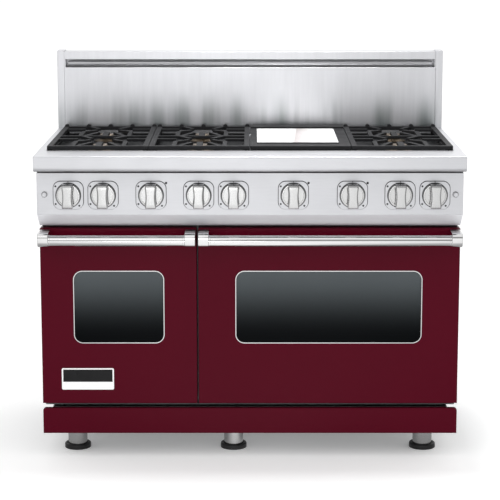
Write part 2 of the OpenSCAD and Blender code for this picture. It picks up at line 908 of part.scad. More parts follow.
module grip_outline() {
    waist_r = knob_d;
    difference() {
        intersection() {
            circle(knob_d / 2 - 2);
            square([grip_w, knob_d], center = true);
        }
        for (s = [-1, 1])
            translate([s * (grip_w / 2 + waist_r - 3.5), 0]) circle(waist_r);
    }
}

module knob(i) {
    x = knob_x[i];
    front = panel_v - knob_reach;
    color("whitesmoke") placed() difference() {
        union() {
            rod_v(x, skirt_back - skirt_t, skirt_back, knob_z, knob_d / 2);
            translate([x, 0, knob_z]) along_v(front, skirt_back - skirt_t) grip_outline();
        }
        rod_v(x, stem_v0 - 1, skirt_back + 1, knob_z, stem_r + run_fit);
    }
}

module push_button(side) {
    color("dimgray") placed()
        rod_v(
            side * button_x, panel_v - bezel_t - button_travel + 0.5, panel_v + 11,
            knob_z + 2, button_r
        );
}

base_frame();
side_panels();
rear_panel();
front_frame();
oven_liner(left_cavity);  // left_oven_liner
oven_liner(right_cavity);  // right_oven_liner
rack_guides();
oven_burners();
oven_gaskets();
kick_plate();
control_panel();
knob_bezels();
gas_manifold();
indicator_lamps();
landing_ledge();
cooktop_pan();
burner_bases();
burner_caps();
griddle_frame();
backguard_panel();
backguard_shell();
backguard_rail();
leg_sleeves();
cord_gland();
screws();
levelling_feet();
door_skin(left_x, left_window_margin);  // left_door_skin
window_trim(left_x, left_window_margin);  // left_window_trim
door_glass(left_x, left_window_margin);  // left_door_glass
door_liner(left_x, left_window_margin);  // left_door_liner
handle_bar(left_x);  // left_handle_bar
handle_brackets(left_x);  // left_handle_brackets
door_hinges(left_x);  // left_door_hinges
nameplate();
door_skin(right_x, right_window_margin);  // right_door_skin
window_trim(right_x, right_window_margin);  // right_window_trim
door_glass(right_x, right_window_margin);  // right_door_glass
door_liner(right_x, right_window_margin);  // right_door_liner
handle_bar(right_x);  // right_handle_bar
handle_brackets(right_x);  // right_handle_brackets
door_hinges(right_x);  // right_door_hinges
knob(0);  // knob_1
knob(1);  // knob_2
knob(2);  // knob_3
knob(3);  // knob_4
knob(4);  // knob_5
knob(5);  // knob_6
knob(6);  // knob_7
knob(7);  // knob_8
knob(8);  // knob_9
push_button(-1);  // left_button
push_button(1);  // right_button
grate(0);  // grate_1
grate(1);  // grate_2
grate(3);  // grate_3
griddle_plate();
rack(left_cavity, 1);  // left_rack_low
rack(left_cavity, 2);  // left_rack_high
rack(right_cavity, 1);  // right_rack_low
rack(right_cavity, 2);  // right_rack_high
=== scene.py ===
"""The looks of a freestanding gas range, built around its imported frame. Metres, +Z up, front towards -Y."""

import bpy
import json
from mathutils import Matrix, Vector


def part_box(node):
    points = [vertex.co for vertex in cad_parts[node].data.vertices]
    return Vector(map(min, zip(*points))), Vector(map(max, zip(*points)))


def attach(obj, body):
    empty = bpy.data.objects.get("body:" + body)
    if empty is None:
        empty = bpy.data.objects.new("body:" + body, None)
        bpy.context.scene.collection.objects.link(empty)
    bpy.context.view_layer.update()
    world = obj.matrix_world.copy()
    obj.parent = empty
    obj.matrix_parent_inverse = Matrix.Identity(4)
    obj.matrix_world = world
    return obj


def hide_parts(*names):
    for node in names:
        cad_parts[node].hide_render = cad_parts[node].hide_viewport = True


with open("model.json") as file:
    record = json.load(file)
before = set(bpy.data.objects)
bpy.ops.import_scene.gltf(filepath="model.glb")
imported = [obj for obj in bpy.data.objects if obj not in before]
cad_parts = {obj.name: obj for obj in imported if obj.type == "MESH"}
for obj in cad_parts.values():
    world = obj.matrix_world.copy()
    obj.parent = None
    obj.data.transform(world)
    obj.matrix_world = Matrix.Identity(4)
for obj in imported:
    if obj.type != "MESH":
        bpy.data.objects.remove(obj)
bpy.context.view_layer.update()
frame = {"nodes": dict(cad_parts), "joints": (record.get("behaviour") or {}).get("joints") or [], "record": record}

import json
import math
from contextlib import contextmanager
from functools import cache

import bmesh
import bpy
from bpy.props import FloatProperty, FloatVectorProperty, PointerProperty
from bpy.types import NodeSocket, Operator, Panel, PropertyGroup
from mathutils import Vector

bl_info = {
    "name": "Gas range looks",
    "version": (1, 0, 0),
    "blender": (4, 5, 0),
    "location": "View3D > Sidebar > Gas range",
    "description": "Models and finishes the visible pieces of a gas range around its frame",
    "category": "Object",
}

MM = 0.001
DOORS = ("left", "right")
KNOBS = range(1, 10)
GRATES = (1, 2, 3)
TINY = 0.02 * MM


# ---- what a user may change ----


def length(name, description, default):
    return FloatProperty(
        name=name, description=description, default=default, min=0.0, unit="LENGTH", subtype="DISTANCE"
    )


def colour(name, description, default):
    return FloatVectorProperty(
        name=name, description=description, default=default, size=3, min=0.0, max=1.0, subtype="COLOR"
    )


class RangeSizes(PropertyGroup):
    """Radii and small sizes that the frame leaves open."""

    nose_low: length("Nose underside", "Radius under the ledge's nose", 13 * MM)
    nose_top: length("Nose top", "Radius over the ledge's nose", 5 * MM)
    fold: length("Panel fold", "Radius of the fold above the panel's sloped lip", 1.5 * MM)
    sheet: length("Sheet", "Thickness of the folded sheet metal", 2 * MM)
    edge: length("Sheet edge", "Softening of a folded sheet's edges", 0.9 * MM)
    door_edge: length("Door edge", "Radius of the door skins' front edges", 3 * MM)
    bezel_corner: length("Bezel corner", "Radius of a bezel's corners", 22 * MM)
    skirt_edge: length("Skirt edge", "Radius around the front of a knob's skirt", 3.6 * MM)
    grip_edge: length("Grip edge", "Radius along the front of a knob's grip", 4 * MM)
    cast_edge: length("Casting edge", "Softening of the cast bars' edges", 1.7 * MM)
    bracket_nose: length("Bracket nose", "Radius on the front of a handle bracket", 16 * MM)


class RangeColours(PropertyGroup):
    """Base colours of the finishes."""

    steel: colour("Stainless", "Brushed stainless sheet", (0.70, 0.705, 0.73))
    bright: colour("Bright metal", "Polished knobs and handles", (0.83, 0.83, 0.83))
    enamel: colour("Enamel", "Gloss enamel on the doors and the kick plate", (0.076, 0.0012, 0.0092))
    oven: colour("Oven enamel", "Porcelain inside the ovens", (0.016, 0.017, 0.022))
    iron: colour("Iron", "Cast grates", (0.017, 0.017, 0.019))
    brass: colour("Brass", "Burner rings, dulled by heat", (0.30, 0.24, 0.18))
    glass_low: colour("Glass, low", "Window glass at its foot", (0.0005, 0.001, 0.0015))
    glass_high: colour("Glass, high", "Window glass at its head", (0.085, 0.097, 0.103))
    zinc: colour("Zinc", "Coated sheet of the sides and the back", (0.50, 0.51, 0.52))
    rubber: colour("Black parts", "Feet, lamps and the gland", (0.012, 0.012, 0.013))


def sizes():
    return bpy.context.scene.gas_range_sizes


def colours():
    return bpy.context.scene.gas_range_colours


# ---- modelling by hand, in code ----


def activate(*pieces):
    bpy.ops.object.select_all(action="DESELECT")
    for piece in pieces:
        piece.select_set(True)
    bpy.context.view_layer.objects.active = pieces[0]


def settle(piece):
    """Put a piece's place, turn and size into its mesh."""
    activate(piece)
    bpy.ops.object.transform_apply(location=True, rotation=True, scale=True)
    return piece


def centre_of(node):
    low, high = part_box(node)
    return (low + high) / 2


def add_block(name, low, high):
    low, high = Vector(low), Vector(high)
    bpy.ops.object.select_all(action="DESELECT")
    bpy.ops.mesh.primitive_cube_add(size=1, location=(low + high) / 2)
    block = bpy.context.object
    block.name = name
    block.scale = high - low
    return settle(block)


def add_rod(name, start, end, radius, sides=64):
    start, end = Vector(start), Vector(end)
    turn = (end - start).to_track_quat("Z", "Y").to_euler()
    bpy.ops.object.select_all(action="DESELECT")
    bpy.ops.mesh.primitive_cylinder_add(
        vertices=sides, radius=radius, depth=(end - start).length, location=(start + end) / 2, rotation=turn
    )
    rod = bpy.context.object
    rod.name = name
    return settle(rod)


def add_post(name, place, low_z, high_z, radius, sides=64):
    """An upright rod at a place, between two heights."""
    return add_rod(name, place + Vector((0, 0, low_z)), place + Vector((0, 0, high_z)), radius, sides)


def add_disc(name, centre, back, front, radius, sides):
    """A rod that runs from back to front, round a centre."""
    return add_rod(name, (centre.x, back, centre.z), (centre.x, front, centre.z), radius, sides)


@contextmanager
def editing(piece):
    activate(piece)
    bpy.ops.object.mode_set(mode="EDIT")
    bpy.ops.mesh.select_mode(type="FACE")
    bpy.ops.mesh.select_all(action="DESELECT")
    yield
    bpy.ops.object.mode_set(mode="OBJECT")


def middle(element):
    """The place of a corner, or the mean place of an edge's or a face's corners."""
    if isinstance(element, bmesh.types.BMVert):
        return element.co
    return sum((corner.co for corner in element.verts), Vector()) / len(element.verts)


def pick(kind, rule):
    """In edit mode, select the corners, edges or faces that a rule accepts."""
    bpy.ops.mesh.select_mode(type=kind)
    bpy.ops.mesh.select_all(action="DESELECT")
    mesh = bmesh.from_edit_mesh(bpy.context.edit_object.data)
    elements = {"VERT": mesh.verts, "EDGE": mesh.edges, "FACE": mesh.faces}[kind]
    found = [element for element in elements if rule(element)]
    if not found:
        raise RuntimeError(f"{bpy.context.edit_object.name}: nothing to select")
    for element in found:
        element.select_set(True)
    mesh.select_flush_mode()
    bmesh.update_edit_mesh(bpy.context.edit_object.data)


def near(a, b, slack=TINY):
    return abs(a - b) < slack


def faces_front(face):
    return face.normal.y < -0.9


def faces_back(face):
    return face.normal.y > 0.9


def faces_up(face):
    return face.normal.z > 0.9


def faces_down(face):
    return face.normal.z < -0.9


def sharp(edge):
    """Whether an edge's two faces meet at a clear angle."""
    return edge.calc_face_angle(0) > 1


def spans(edge, axis):
    """Whether an edge runs along an axis: 0 for X, 1 for Y, 2 for Z."""
    run = edge.verts[1].co - edge.verts[0].co
    return abs(run[axis]) > 0.999 * run.length


def bevel_edges(rule, width, segments=4):
    pick("EDGE", rule)
    bpy.ops.mesh.bevel(offset=width, segments=segments, affect="EDGES", clamp_overlap=False)


def cut_plane(place, normal, drop_outer=False):
    bpy.ops.mesh.select_all(action="SELECT")
    bpy.ops.mesh.bisect(plane_co=place, plane_no=normal, use_fill=drop_outer, clear_outer=drop_outer)


def inset(thickness, depth=0.0, **settings):
    """Inset the selected faces, in millimetres."""
    bpy.ops.mesh.inset(thickness=thickness * MM, depth=depth * MM, **settings)


def extrude(step):
    bpy.ops.mesh.extrude_region_move(TRANSFORM_OT_translate={"value": step})


def swell(height):
    bpy.ops.mesh.extrude_region_shrink_fatten(TRANSFORM_OT_shrink_fatten={"value": height})


def use_modifier(piece, kind, **settings):
    activate(piece)
    modifier = piece.modifiers.new(kind.lower(), kind)
    for name, value in settings.items():
        setattr(modifier, name, value)
    bpy.ops.object.modifier_apply(modifier=modifier.name)


def soften(piece, width, segments=2, angle=30):
    use_modifier(
        piece, "BEVEL", width=width, segments=segments, limit_method="ANGLE",
        angle_limit=math.radians(angle), use_clamp_overlap=True,
    )


def subtract(piece, *cutters):
    for cutter in cutters:
        use_modifier(piece, "BOOLEAN", operation="DIFFERENCE", solver="EXACT", object=cutter)
        bpy.data.objects.remove(cutter)


def clean(piece):
    """Merge doubles and turn every face outwards."""
    with editing(piece):
        bpy.ops.mesh.select_all(action="SELECT")
        bpy.ops.mesh.remove_doubles(threshold=TINY)
        bpy.ops.mesh.normals_make_consistent(inside=False)


def joined(name, pieces):
    activate(*pieces)
    bpy.ops.object.join()
    pieces[0].name = name
    return pieces[0]


def copied(piece, name, shift):
    """A copy with its own mesh, moved by shift."""
    twin = bpy.data.objects.new(name, piece.data.copy())
    bpy.context.scene.collection.objects.link(twin)
    twin.location = shift
    return settle(twin)


def refined(name, node, width, segments=2, angle=30):
    """A merged copy of a frame node with softened edges."""
    piece = bpy.data.objects.new(name, frame["nodes"][node].data.copy())
    bpy.context.scene.collection.objects.link(piece)
    with editing(piece):
        bpy.ops.mesh.select_all(action="SELECT")
        bpy.ops.mesh.remove_doubles(threshold=TINY)
        bpy.ops.mesh.dissolve_limited(angle_limit=math.radians(0.5))
        bpy.ops.mesh.select_all(action="SELECT")
        bpy.ops.mesh.normals_make_consistent(inside=False)
    soften(piece, width, segments, angle)
    return piece


def hand_over(piece, body, slot, material, *nodes, smooth=40):
    """Smooth a finished piece, give it its finish and hang it on its body."""
    clean(piece)
    activate(piece)
    bpy.ops.object.shade_smooth_by_angle(angle=math.radians(smooth))
    use_modifier(piece, "WEIGHTED_NORMAL", mode="FACE_AREA", keep_sharp=True)
    piece.data.materials.clear()
    piece.data.materials.append(material)
    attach(piece, body)
    if nodes:
        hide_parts(*nodes)
    return piece


def inlay(piece, material, rule):
    """Give the faces that a rule accepts a second material: a real second finish, or painted light or shade."""
    piece.data.materials.append(material)
    for face in piece.data.polygons:
        if rule(face):
            face.material_index = len(piece.data.materials) - 1


# ---- finishes ----


def new_group(name, inputs, outputs):
    """A shader node group with named sockets. inputs holds (name, kind, default) and outputs (name, kind)."""
    group = bpy.data.node_groups.new(name, "ShaderNodeTree")
    for title, kind, default in inputs:
        socket = group.interface.new_socket(name=title, in_out="INPUT", socket_type=f"NodeSocket{kind}")
        socket.default_value = default
    for title, kind in outputs:
        group.interface.new_socket(name=title, in_out="OUTPUT", socket_type=f"NodeSocket{kind}")
    return group


def put(tree, kind, values=None, **settings):
    """Add a node. values fills its inputs by name or number, with a number, a colour or a socket to link."""
    node = tree.nodes.new(f"ShaderNode{kind}")
    for name, value in settings.items():
        setattr(node, name, value)
    for key, value in (values or {}).items():
        if isinstance(value, NodeSocket):
            tree.links.new(value, node.inputs[key])
        else:
            node.inputs[key].default_value = value
    return node


def put_group(tree, group, values):
    node = tree.nodes.new("ShaderNodeGroup")
    node.node_tree = group
    for key, value in values.items():
        node.inputs[key].default_value = value
    return node


def group_ends(group):
    return group.nodes.new("NodeGroupInput").outputs, group.nodes.new("NodeGroupOutput").inputs


def object_place(tree, scale=None):
    """Object coordinates, stretched by scale."""
    place = put(tree, "TexCoord").outputs["Object"]
    if scale is None:
        return place
    return put(tree, "Mapping", {"Vector": place, "Scale": scale}).outputs[0]


def calc(tree, operation, first, second=0.0):
    """The value of a Math node."""
    return put(tree, "Math", {0: first, 1: second}, operation=operation).outputs[0]


def noise(tree, scale, detail, place=None):
    """The value of a noise on Object coordinates, or on a place."""
    place = object_place(tree) if place is None else place
    return put(tree, "TexNoise", {"Vector": place, "Scale": scale, "Detail": detail}).outputs[0]


def mapped(tree, value, start, end, low=0.0, high=1.0, kind="LINEAR"):
    """A value moved from start..end to low..high."""
    return put(tree, "MapRange", {0: value, 1: start, 2: end, 3: low, 4: high}, interpolation_type=kind).outputs[0]


def grain_group():
    """Fine brushing that runs along the axis with the smallest stretch, and broad streaks along it."""
    group = new_group(
        "Brushed grain",
        [("Stretch", "Vector", (1, 1, 1)), ("Fineness", "Float", 900.0), ("Streaks", "Float", 18.0)],
        [("Height", "Float"), ("Shade", "Float")],
    )
    into, out = group_ends(group)
    place = object_place(group, into["Stretch"])
    group.links.new(noise(group, into["Fineness"], 3.0, place), out["Height"])
    broad = put(group, "TexNoise", {"Vector": place, "Scale": into["Streaks"], "Detail": 5.0, "Roughness": 0.65})
    group.links.new(broad.outputs[0], out["Shade"])
    return group


def marks_group():
    """Roughness that wanders a little with wiping and handling."""
    group = new_group(
        "Handling marks",
        [("Roughness", "Float", 0.3), ("Amount", "Float", 0.1), ("Size", "Float", 9.0)],
        [("Roughness", "Float")],
    )
    into, out = group_ends(group)
    centred = calc(group, "SUBTRACT", noise(group, into["Size"], 6.0), 0.5)
    spread = calc(group, "MULTIPLY", centred, into["Amount"])
    group.links.new(calc(group, "ADD", spread, into["Roughness"]), out["Roughness"])
    return group


def skin_group():
    """Height of a poured or sprayed skin: soft waves with a finer tooth on them."""
    group = new_group(
        "Surface skin",
        [("Waves", "Float", 160.0), ("Tooth", "Float", 900.0), ("Mix", "Float", 0.3)],
        [("Height", "Float")],
    )
    into, out = group_ends(group)
    place = object_place(group)
    waves, tooth = noise(group, into["Waves"], 2.0, place), noise(group, into["Tooth"], 2.0, place)
    both = put(group, "Mix", {0: into["Mix"], 2: waves, 3: tooth}, data_type="FLOAT")
    group.links.new(both.outputs[0], out["Height"])
    return group


def speck_group():
    """Small round specks, as a mask."""
    group = new_group("Specks", [("Scale", "Float", 400.0), ("Size", "Float", 0.2)], [("Mask", "Float")])
    into, out = group_ends(group)
    cells = put(group, "TexVoronoi", {"Vector": object_place(group), "Scale": into["Scale"]})
    group.links.new(calc(group, "LESS_THAN", cells.outputs["Distance"], into["Size"]), out["Mask"])
    return group


def flag_group():
    """What shiny metal meets in the studio: 1 towards the black flags at the sides and the dark seam between
    the two softboxes in front, else 0."""
    group = new_group(
        "Studio flags",
        [("Start", "Float", 0.12), ("End", "Float", 0.75), ("Seam", "Float", 0.42), ("Seam half", "Float", 0.25)],
        [("Mask", "Float")],
    )
    into, out = group_ends(group)
    ahead = put(group, "VectorMath", {0: object_place(group)}, operation="NORMALIZE")
    axes = put(group, "SeparateXYZ", {0: ahead.outputs[0]}).outputs
    flag = mapped(group, calc(group, "ABSOLUTE", axes[0]), into["Start"], into["End"], kind="SMOOTHSTEP")
    off = calc(group, "ABSOLUTE", calc(group, "SUBTRACT", axes[2], into["Seam"]))
    shadow_slab = mapped(group, off, into["Seam half"], 0.16)
    shadow_slab = calc(group, "MULTIPLY", shadow_slab, mapped(group, axes[1], 0.0, -0.2))
    group.links.new(calc(group, "MAXIMUM", flag, shadow_slab), out["Mask"])
    return group


def shade_between(tree, factor, low, high):
    """A colour between low and high by a factor socket."""
    return put(
        tree, "Mix", {0: factor, 6: (*low, 1.0), 7: (*high, 1.0)}, data_type="RGBA"
    ).outputs[2]


def scaled(base, factor):
    return tuple(min(1.0, channel * factor) for channel in base)


class Finishes:
    """Every material of the range, made once."""

    def __init__(self):
        self.grain = grain_group()
        self.marks = marks_group()
        self.skin = skin_group()
        self.specks = speck_group()
        self.flags = flag_group()
        tone = colours()
        across, upright = (1.0, 14.0, 14.0), (14.0, 14.0, 1.0)
        sheet = scaled(tone.steel, 0.96)
        self.sheet = self.brushed("Stainless, brushed across", sheet, across, 0.4, 0.05, metal=0.85)
        self.back = self.brushed("Stainless, brushed upright", sheet, upright, 0.34, 0.1, streaks=3.5, wear=0.03)
        # painted reflection of the grates and burners at the foot of the backguard
        self.painted_burner_reflection(self.back)
        # painted light: a lighter copy of the steel for the panel's downward-facing lip
        self.lip = self.brushed("Stainless, lip with painted light", scaled(tone.steel, 1.25), across, 0.6, 0.05, metal=0.2)
        # painted shade: a dark copy of the steel for undersides, gaps and edge outlines
        self.shaded = self.brushed("Stainless, in shade", scaled(tone.steel, 0.09), across, 0.4, 0.08)
        self.rail = self.brushed("Stainless rail", scaled(tone.steel, 0.8), across, 0.3, 0.06, metal=0.8)
        self.badge = self.brushed("Nameplate border", scaled(tone.bright, 1.15), across, 0.4, 0.03, metal=0.1)
        bright = scaled(tone.bright, 0.9)
        self.bright = self.brushed("Bright metal, satin", bright, (1.0, 6.0, 6.0), 0.09, 0.03, wear=0.05)
        self.knob = self.brushed("Bright metal, knobs", scaled(tone.bright, 0.72), (9.0, 9.0, 1.5), 0.22, 0.07)
        self.plate = self.griddle(tone.bright)
        self.black = self.cast("Black enamel", scaled(tone.iron, 0.4), 0.32, 0.08)
        self.surround = self.cast("Griddle surround", scaled(tone.iron, 0.55), 0.5)
        self.iron = self.cast("Enamelled cast iron", scaled(tone.iron, 0.8), 0.55)
        self.enamel = self.gloss_enamel(tone.enamel)
        self.oven = self.speckled(tone.oven)
        self.brass = self.toned_brass(tone.brass)
        self.glass = self.window(tone.glass_low, tone.glass_high)
        self.zinc = self.spangled(tone.zinc)
        self.rubber = self.matt(tone.rubber)
        self.braid = self.woven()

    def shader(self, name, **constants):
        """A material whose surface is one Principled shader, with plain values on its own sockets."""
        material = bpy.data.materials.new(name)
        material.use_nodes = True
        tree = material.node_tree
        surface = tree.nodes["Principled BSDF"]
        for socket, value in constants.items():
            surface.inputs[socket.replace("_", " ")].default_value = value
        return material, tree, surface

    def dress(self, tree, surface, shade, roughness, wear, patch=9.0):
        """Give a surface its colour and a roughness that wanders by wear, in patches."""
        marks = put_group(tree, self.marks, {"Roughness": roughness, "Amount": wear, "Size": patch})
        tree.links.new(shade, surface.inputs["Base Color"])
        tree.links.new(marks.outputs[0], surface.inputs["Roughness"])

    def bump(self, tree, surface, height, distance, strength):
        node = put(tree, "Bump", {"Height": height, "Distance": distance, "Strength": strength})
        tree.links.new(node.outputs[0], surface.inputs["Normal"])

    def brushed(self, name, base, stretch, roughness, contrast, metal=1.0, streaks=18.0, wear=0.12):
        material, tree, surface = self.shader(name, Metallic=metal)
        grain = put_group(tree, self.grain, {"Stretch": stretch, "Streaks": streaks})
        shade = shade_between(tree, grain.outputs["Shade"], scaled(base, 1 - contrast), scaled(base, 1 + contrast))
        self.dress(tree, surface, shade, roughness, wear)
        self.bump(tree, surface, grain.outputs["Height"], 0.01 * MM, 0.2)
        return material

    def painted_burner_reflection(self, material):
        """Darken the foot of the backguard's face in broad upright streaks: a painted reflection of the grates and
        burners.
        """
        reach, face_depth = 0.12, (0.006, 0.003)
        tree = material.node_tree
        surface = tree.nodes["Principled BSDF"]
        plain_shade = surface.inputs["Base Color"].links[0].from_socket
        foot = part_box("griddle_plate")[1].z
        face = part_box("backguard_panel")[0].y
        axes = put(tree, "SeparateXYZ", {0: object_place(tree)}).outputs
        on_face = mapped(tree, axes[1], face + face_depth[0], face + face_depth[1])
        low_down = mapped(tree, axes[2], foot + reach, foot, kind="SMOOTHSTEP")
        streaks = mapped(tree, noise(tree, 1.6, 3.0, object_place(tree, (9.0, 9.0, 0.5))), 0.42, 0.68)
        reflection_mask = calc(tree, "MULTIPLY", calc(tree, "MULTIPLY", low_down, on_face), streaks)
        # the painted reflection's dark colour, mixed in over the plain steel
        shade = put(tree, "Mix", {0: reflection_mask, 6: plain_shade, 7: (0.24, 0.27, 0.27, 1)}, data_type="RGBA")
        tree.links.new(shade.outputs[2], surface.inputs["Base Color"])

    def griddle(self, base):
        """Ground plate with a darker, warm grey band across its middle, sharp on its left and fading towards the right.
        """
        material, tree, surface = self.shader("Ground griddle plate", Metallic=0.15)
        grain = put_group(tree, self.grain, {"Stretch": (1.0, 12.0, 1.0)})
        low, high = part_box("griddle_plate")
        centre = centre_of("griddle_plate")
        place = put(
            tree, "Mapping", {"Vector": object_place(tree), "Location": -centre}, vector_type="POINT"
        )
        axes = put(tree, "SeparateXYZ", {0: place.outputs[0]}).outputs
        across = calc(tree, "ADD", axes[0], calc(tree, "MULTIPLY", axes[1], -0.05))
        band = put(tree, "ValToRGB", {0: mapped(tree, across, low.x - centre.x, high.x - centre.x)})
        stops = band.color_ramp.elements
        stops[0].position, stops[0].color = 0.47, (*scaled(base, 1.2), 1)
        stops[1].position, stops[1].color = 0.49, (0.62, 0.56, 0.55, 1)
        stops.new(0.72).color = (*scaled(base, 1.15), 1)
        shade = put(tree, "Mix", {0: 0.05, 6: band.outputs[0], 7: grain.outputs["Shade"]}, data_type="RGBA")
        self.dress(tree, surface, shade.outputs[2], 0.2, 0.1)
        self.bump(tree, surface, grain.outputs["Height"], 0.02 * MM, 0.5)
        return material

    def gloss_enamel(self, base):
        material, tree, surface = self.shader(
            "Burgundy enamel", Specular_IOR_Level=0.06, Coat_Weight=0.02, Coat_Roughness=0.04
        )
        skin = put_group(tree, self.skin, {"Waves": 130.0, "Tooth": 500.0, "Mix": 0.15})
        shade = shade_between(tree, noise(tree, 3.0, 4.0), scaled(base, 0.92), scaled(base, 1.08))
        self.dress(tree, surface, shade, 0.3, 0.14, 5.0)
        self.bump(tree, surface, skin.outputs[0], 0.05 * MM, 0.4)
        return material

    def speckled(self, base):
        material, tree, surface = self.shader("Speckled oven enamel", Coat_Weight=0.4, Coat_Roughness=0.1)
        specks = put_group(tree, self.specks, {"Scale": 170.0, "Size": 0.2})
        skin = put_group(tree, self.skin, {"Waves": 60.0, "Tooth": 200.0})
        self.dress(tree, surface, shade_between(tree, specks.outputs[0], base, (0.09, 0.095, 0.105)), 0.3, 0.2)
        self.bump(tree, surface, skin.outputs[0], 0.04 * MM, 0.3)
        return material

    def cast(self, name, base, roughness, pitting=0.6):
        material, tree, surface = self.shader(name, Specular_IOR_Level=0.24)
        skin = put_group(tree, self.skin, {"Waves": 260.0, "Tooth": 1100.0, "Mix": 0.4})
        shade = shade_between(tree, noise(tree, 40.0, 6.0), scaled(base, 0.7), scaled(base, 1.5))
        self.dress(tree, surface, shade, roughness, 0.25, 22.0)
        self.bump(tree, surface, skin.outputs[0], 0.25 * MM, pitting)
        return material

    def toned_brass(self, base):
        """Brass that flames have browned in patches."""
        material, tree, surface = self.shader("Heat-toned brass", Metallic=1.0)
        shade = shade_between(tree, noise(tree, 60.0, 5.0), scaled(base, 0.55), scaled(base, 1.35))
        self.dress(tree, surface, shade, 0.33, 0.3, 50.0)
        return material

    def window(self, low_tone, high_tone):
        """Tinted glass whose colour lightens towards the head of the window: a painted reflection."""
        material, tree, surface = self.shader(
            "Tinted window glass", Roughness=0.03, Specular_IOR_Level=0.03, Coat_Weight=0.05, Coat_Roughness=0.02
        )
        low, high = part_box("left_door_glass")
        height = put(tree, "SeparateXYZ", {0: object_place(tree)}).outputs[2]
        # painted reflection: dark at the window's foot, lighter towards its head
        rise = calc(tree, "POWER", mapped(tree, height, low.z, high.z, kind="SMOOTHSTEP"), 1.7)
        film = mapped(tree, noise(tree, 4.0, 3.0), 0.0, 1.0, 0.92, 1.06)
        blend = calc(tree, "MULTIPLY", rise, film)
        tree.links.new(shade_between(tree, blend, low_tone, high_tone), surface.inputs["Base Color"])
        return material

    def spangled(self, base):
        material, tree, surface = self.shader("Zinc-coated sheet", Metallic=1.0)
        spangle = put(tree, "TexVoronoi", {"Vector": object_place(tree), "Scale": 60.0})
        tone = put(tree, "SeparateColor", {0: spangle.outputs["Color"]})
        shade = shade_between(tree, tone.outputs[0], scaled(base, 0.95), scaled(base, 1.05))
        self.dress(tree, surface, shade, 0.42, 0.2)
        return material

    def matt(self, base):
        material, tree, surface = self.shader("Black moulding", Specular_IOR_Level=0.5)
        skin = put_group(tree, self.skin, {"Waves": 500.0, "Tooth": 1500.0})
        shade = shade_between(tree, noise(tree, 35.0, 4.0), scaled(base, 0.8), scaled(base, 1.3))
        self.dress(tree, surface, shade, 0.36, 0.2, 30.0)
        self.bump(tree, surface, skin.outputs[0], 0.08 * MM, 0.5)
        return material

    def woven(self):
        """Glass-fibre braid."""
        material, tree, surface = self.shader("Gasket braid", Roughness=0.9, Sheen_Weight=0.3)
        place = object_place(tree)
        warp = put(tree, "TexWave", {"Vector": place, "Scale": 160.0, "Distortion": 1.0}, bands_direction="DIAGONAL")
        shade = shade_between(tree, warp.outputs["Fac"], (0.05, 0.05, 0.05), (0.22, 0.22, 0.21))
        tree.links.new(shade, surface.inputs["Base Color"])
        self.bump(tree, surface, warp.outputs["Fac"], 0.6 * MM, 0.7)
        return material


# ---- the pieces ----


@cache
def finishes():
    return Finishes()


def knob_centres():
    return [centre_of(f"knob_{knob}") for knob in KNOBS]


def spread(piece, places):
    """A piece at the first of the places, and copies of it at the others."""
    return [piece] + [copied(piece, piece.name, place - places[0]) for place in places[1:]]


class RangeOperator(Operator):
    """What every operator of the range shares."""

    bl_options = {"REGISTER", "UNDO"}


class MakeLedge(RangeOperator):
    """Make the landing ledge: a deep sheet nose with a return leg under it"""

    bl_idname = "gas_range.ledge"
    bl_label = "Landing ledge"

    def execute(self, context):
        size = sizes()
        low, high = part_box("landing_ledge")
        face_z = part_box("cooktop_pan")[0].z
        leg_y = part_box("control_panel")[0].y + 15 * MM
        ledge = add_block("ledge_nose", (low.x, low.y, face_z), high)
        with editing(ledge):
            for y in (leg_y, leg_y + size.sheet):
                cut_plane((0, y, 0), (0, 1, 0))
            pick("FACE", lambda f: f.normal.z < -0.9 and near(middle(f).y, leg_y + size.sheet / 2))
            extrude((0, 0, low.z - face_z))
            bevel_edges(
                lambda e: spans(e, 0) and near(middle(e).y, low.y) and near(middle(e).z, face_z), size.nose_low, 10
            )
            bevel_edges(
                lambda e: spans(e, 0) and near(middle(e).y, low.y) and near(middle(e).z, high.z), size.nose_top, 6
            )
        soften(ledge, size.edge)
        hand_over(ledge, "root", "stainless", finishes().sheet, "landing_ledge")
        # painted shade under the ledge's nose and on its return leg
        inlay(ledge, finishes().shaded, lambda f: f.normal.z < -0.9 or f.center.z < face_z - MM)
        return {"FINISHED"}


class MakeControlPanel(RangeOperator):
    """Make the control panel: an upright face folded back into a sloped lip"""

    bl_idname = "gas_range.control_panel"
    bl_label = "Control panel"

    def execute(self, context):
        size = sizes()
        low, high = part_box("control_panel")
        lip_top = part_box("knob_bezels")[0].z - 15.5 * MM
        lip_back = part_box("left_door_skin")[0].y + 17 * MM
        panel = add_block("panel_face", low, high)
        with editing(panel):
            fold = Vector((0, low.y, lip_top))
            slope = Vector((0, lip_back, low.z)) - fold
            cut_plane(fold, (0, slope.z, -slope.y), drop_outer=True)
            bevel_edges(lambda e: spans(e, 0) and near(middle(e).z, lip_top), size.fold, 6)
            bevel_edges(lambda e: spans(e, 0) and near(middle(e).y, lip_back, MM), size.fold, 6)
        soften(panel, size.edge)
        hand_over(panel, "root", "stainless", finishes().sheet, "control_panel")
        # painted light: the sloped lip, which faces down, gets the lighter copy of the steel
        inlay(panel, finishes().lip, lambda f: f.normal.z < -0.5 and f.normal.y < 0)
        return {"FINISHED"}


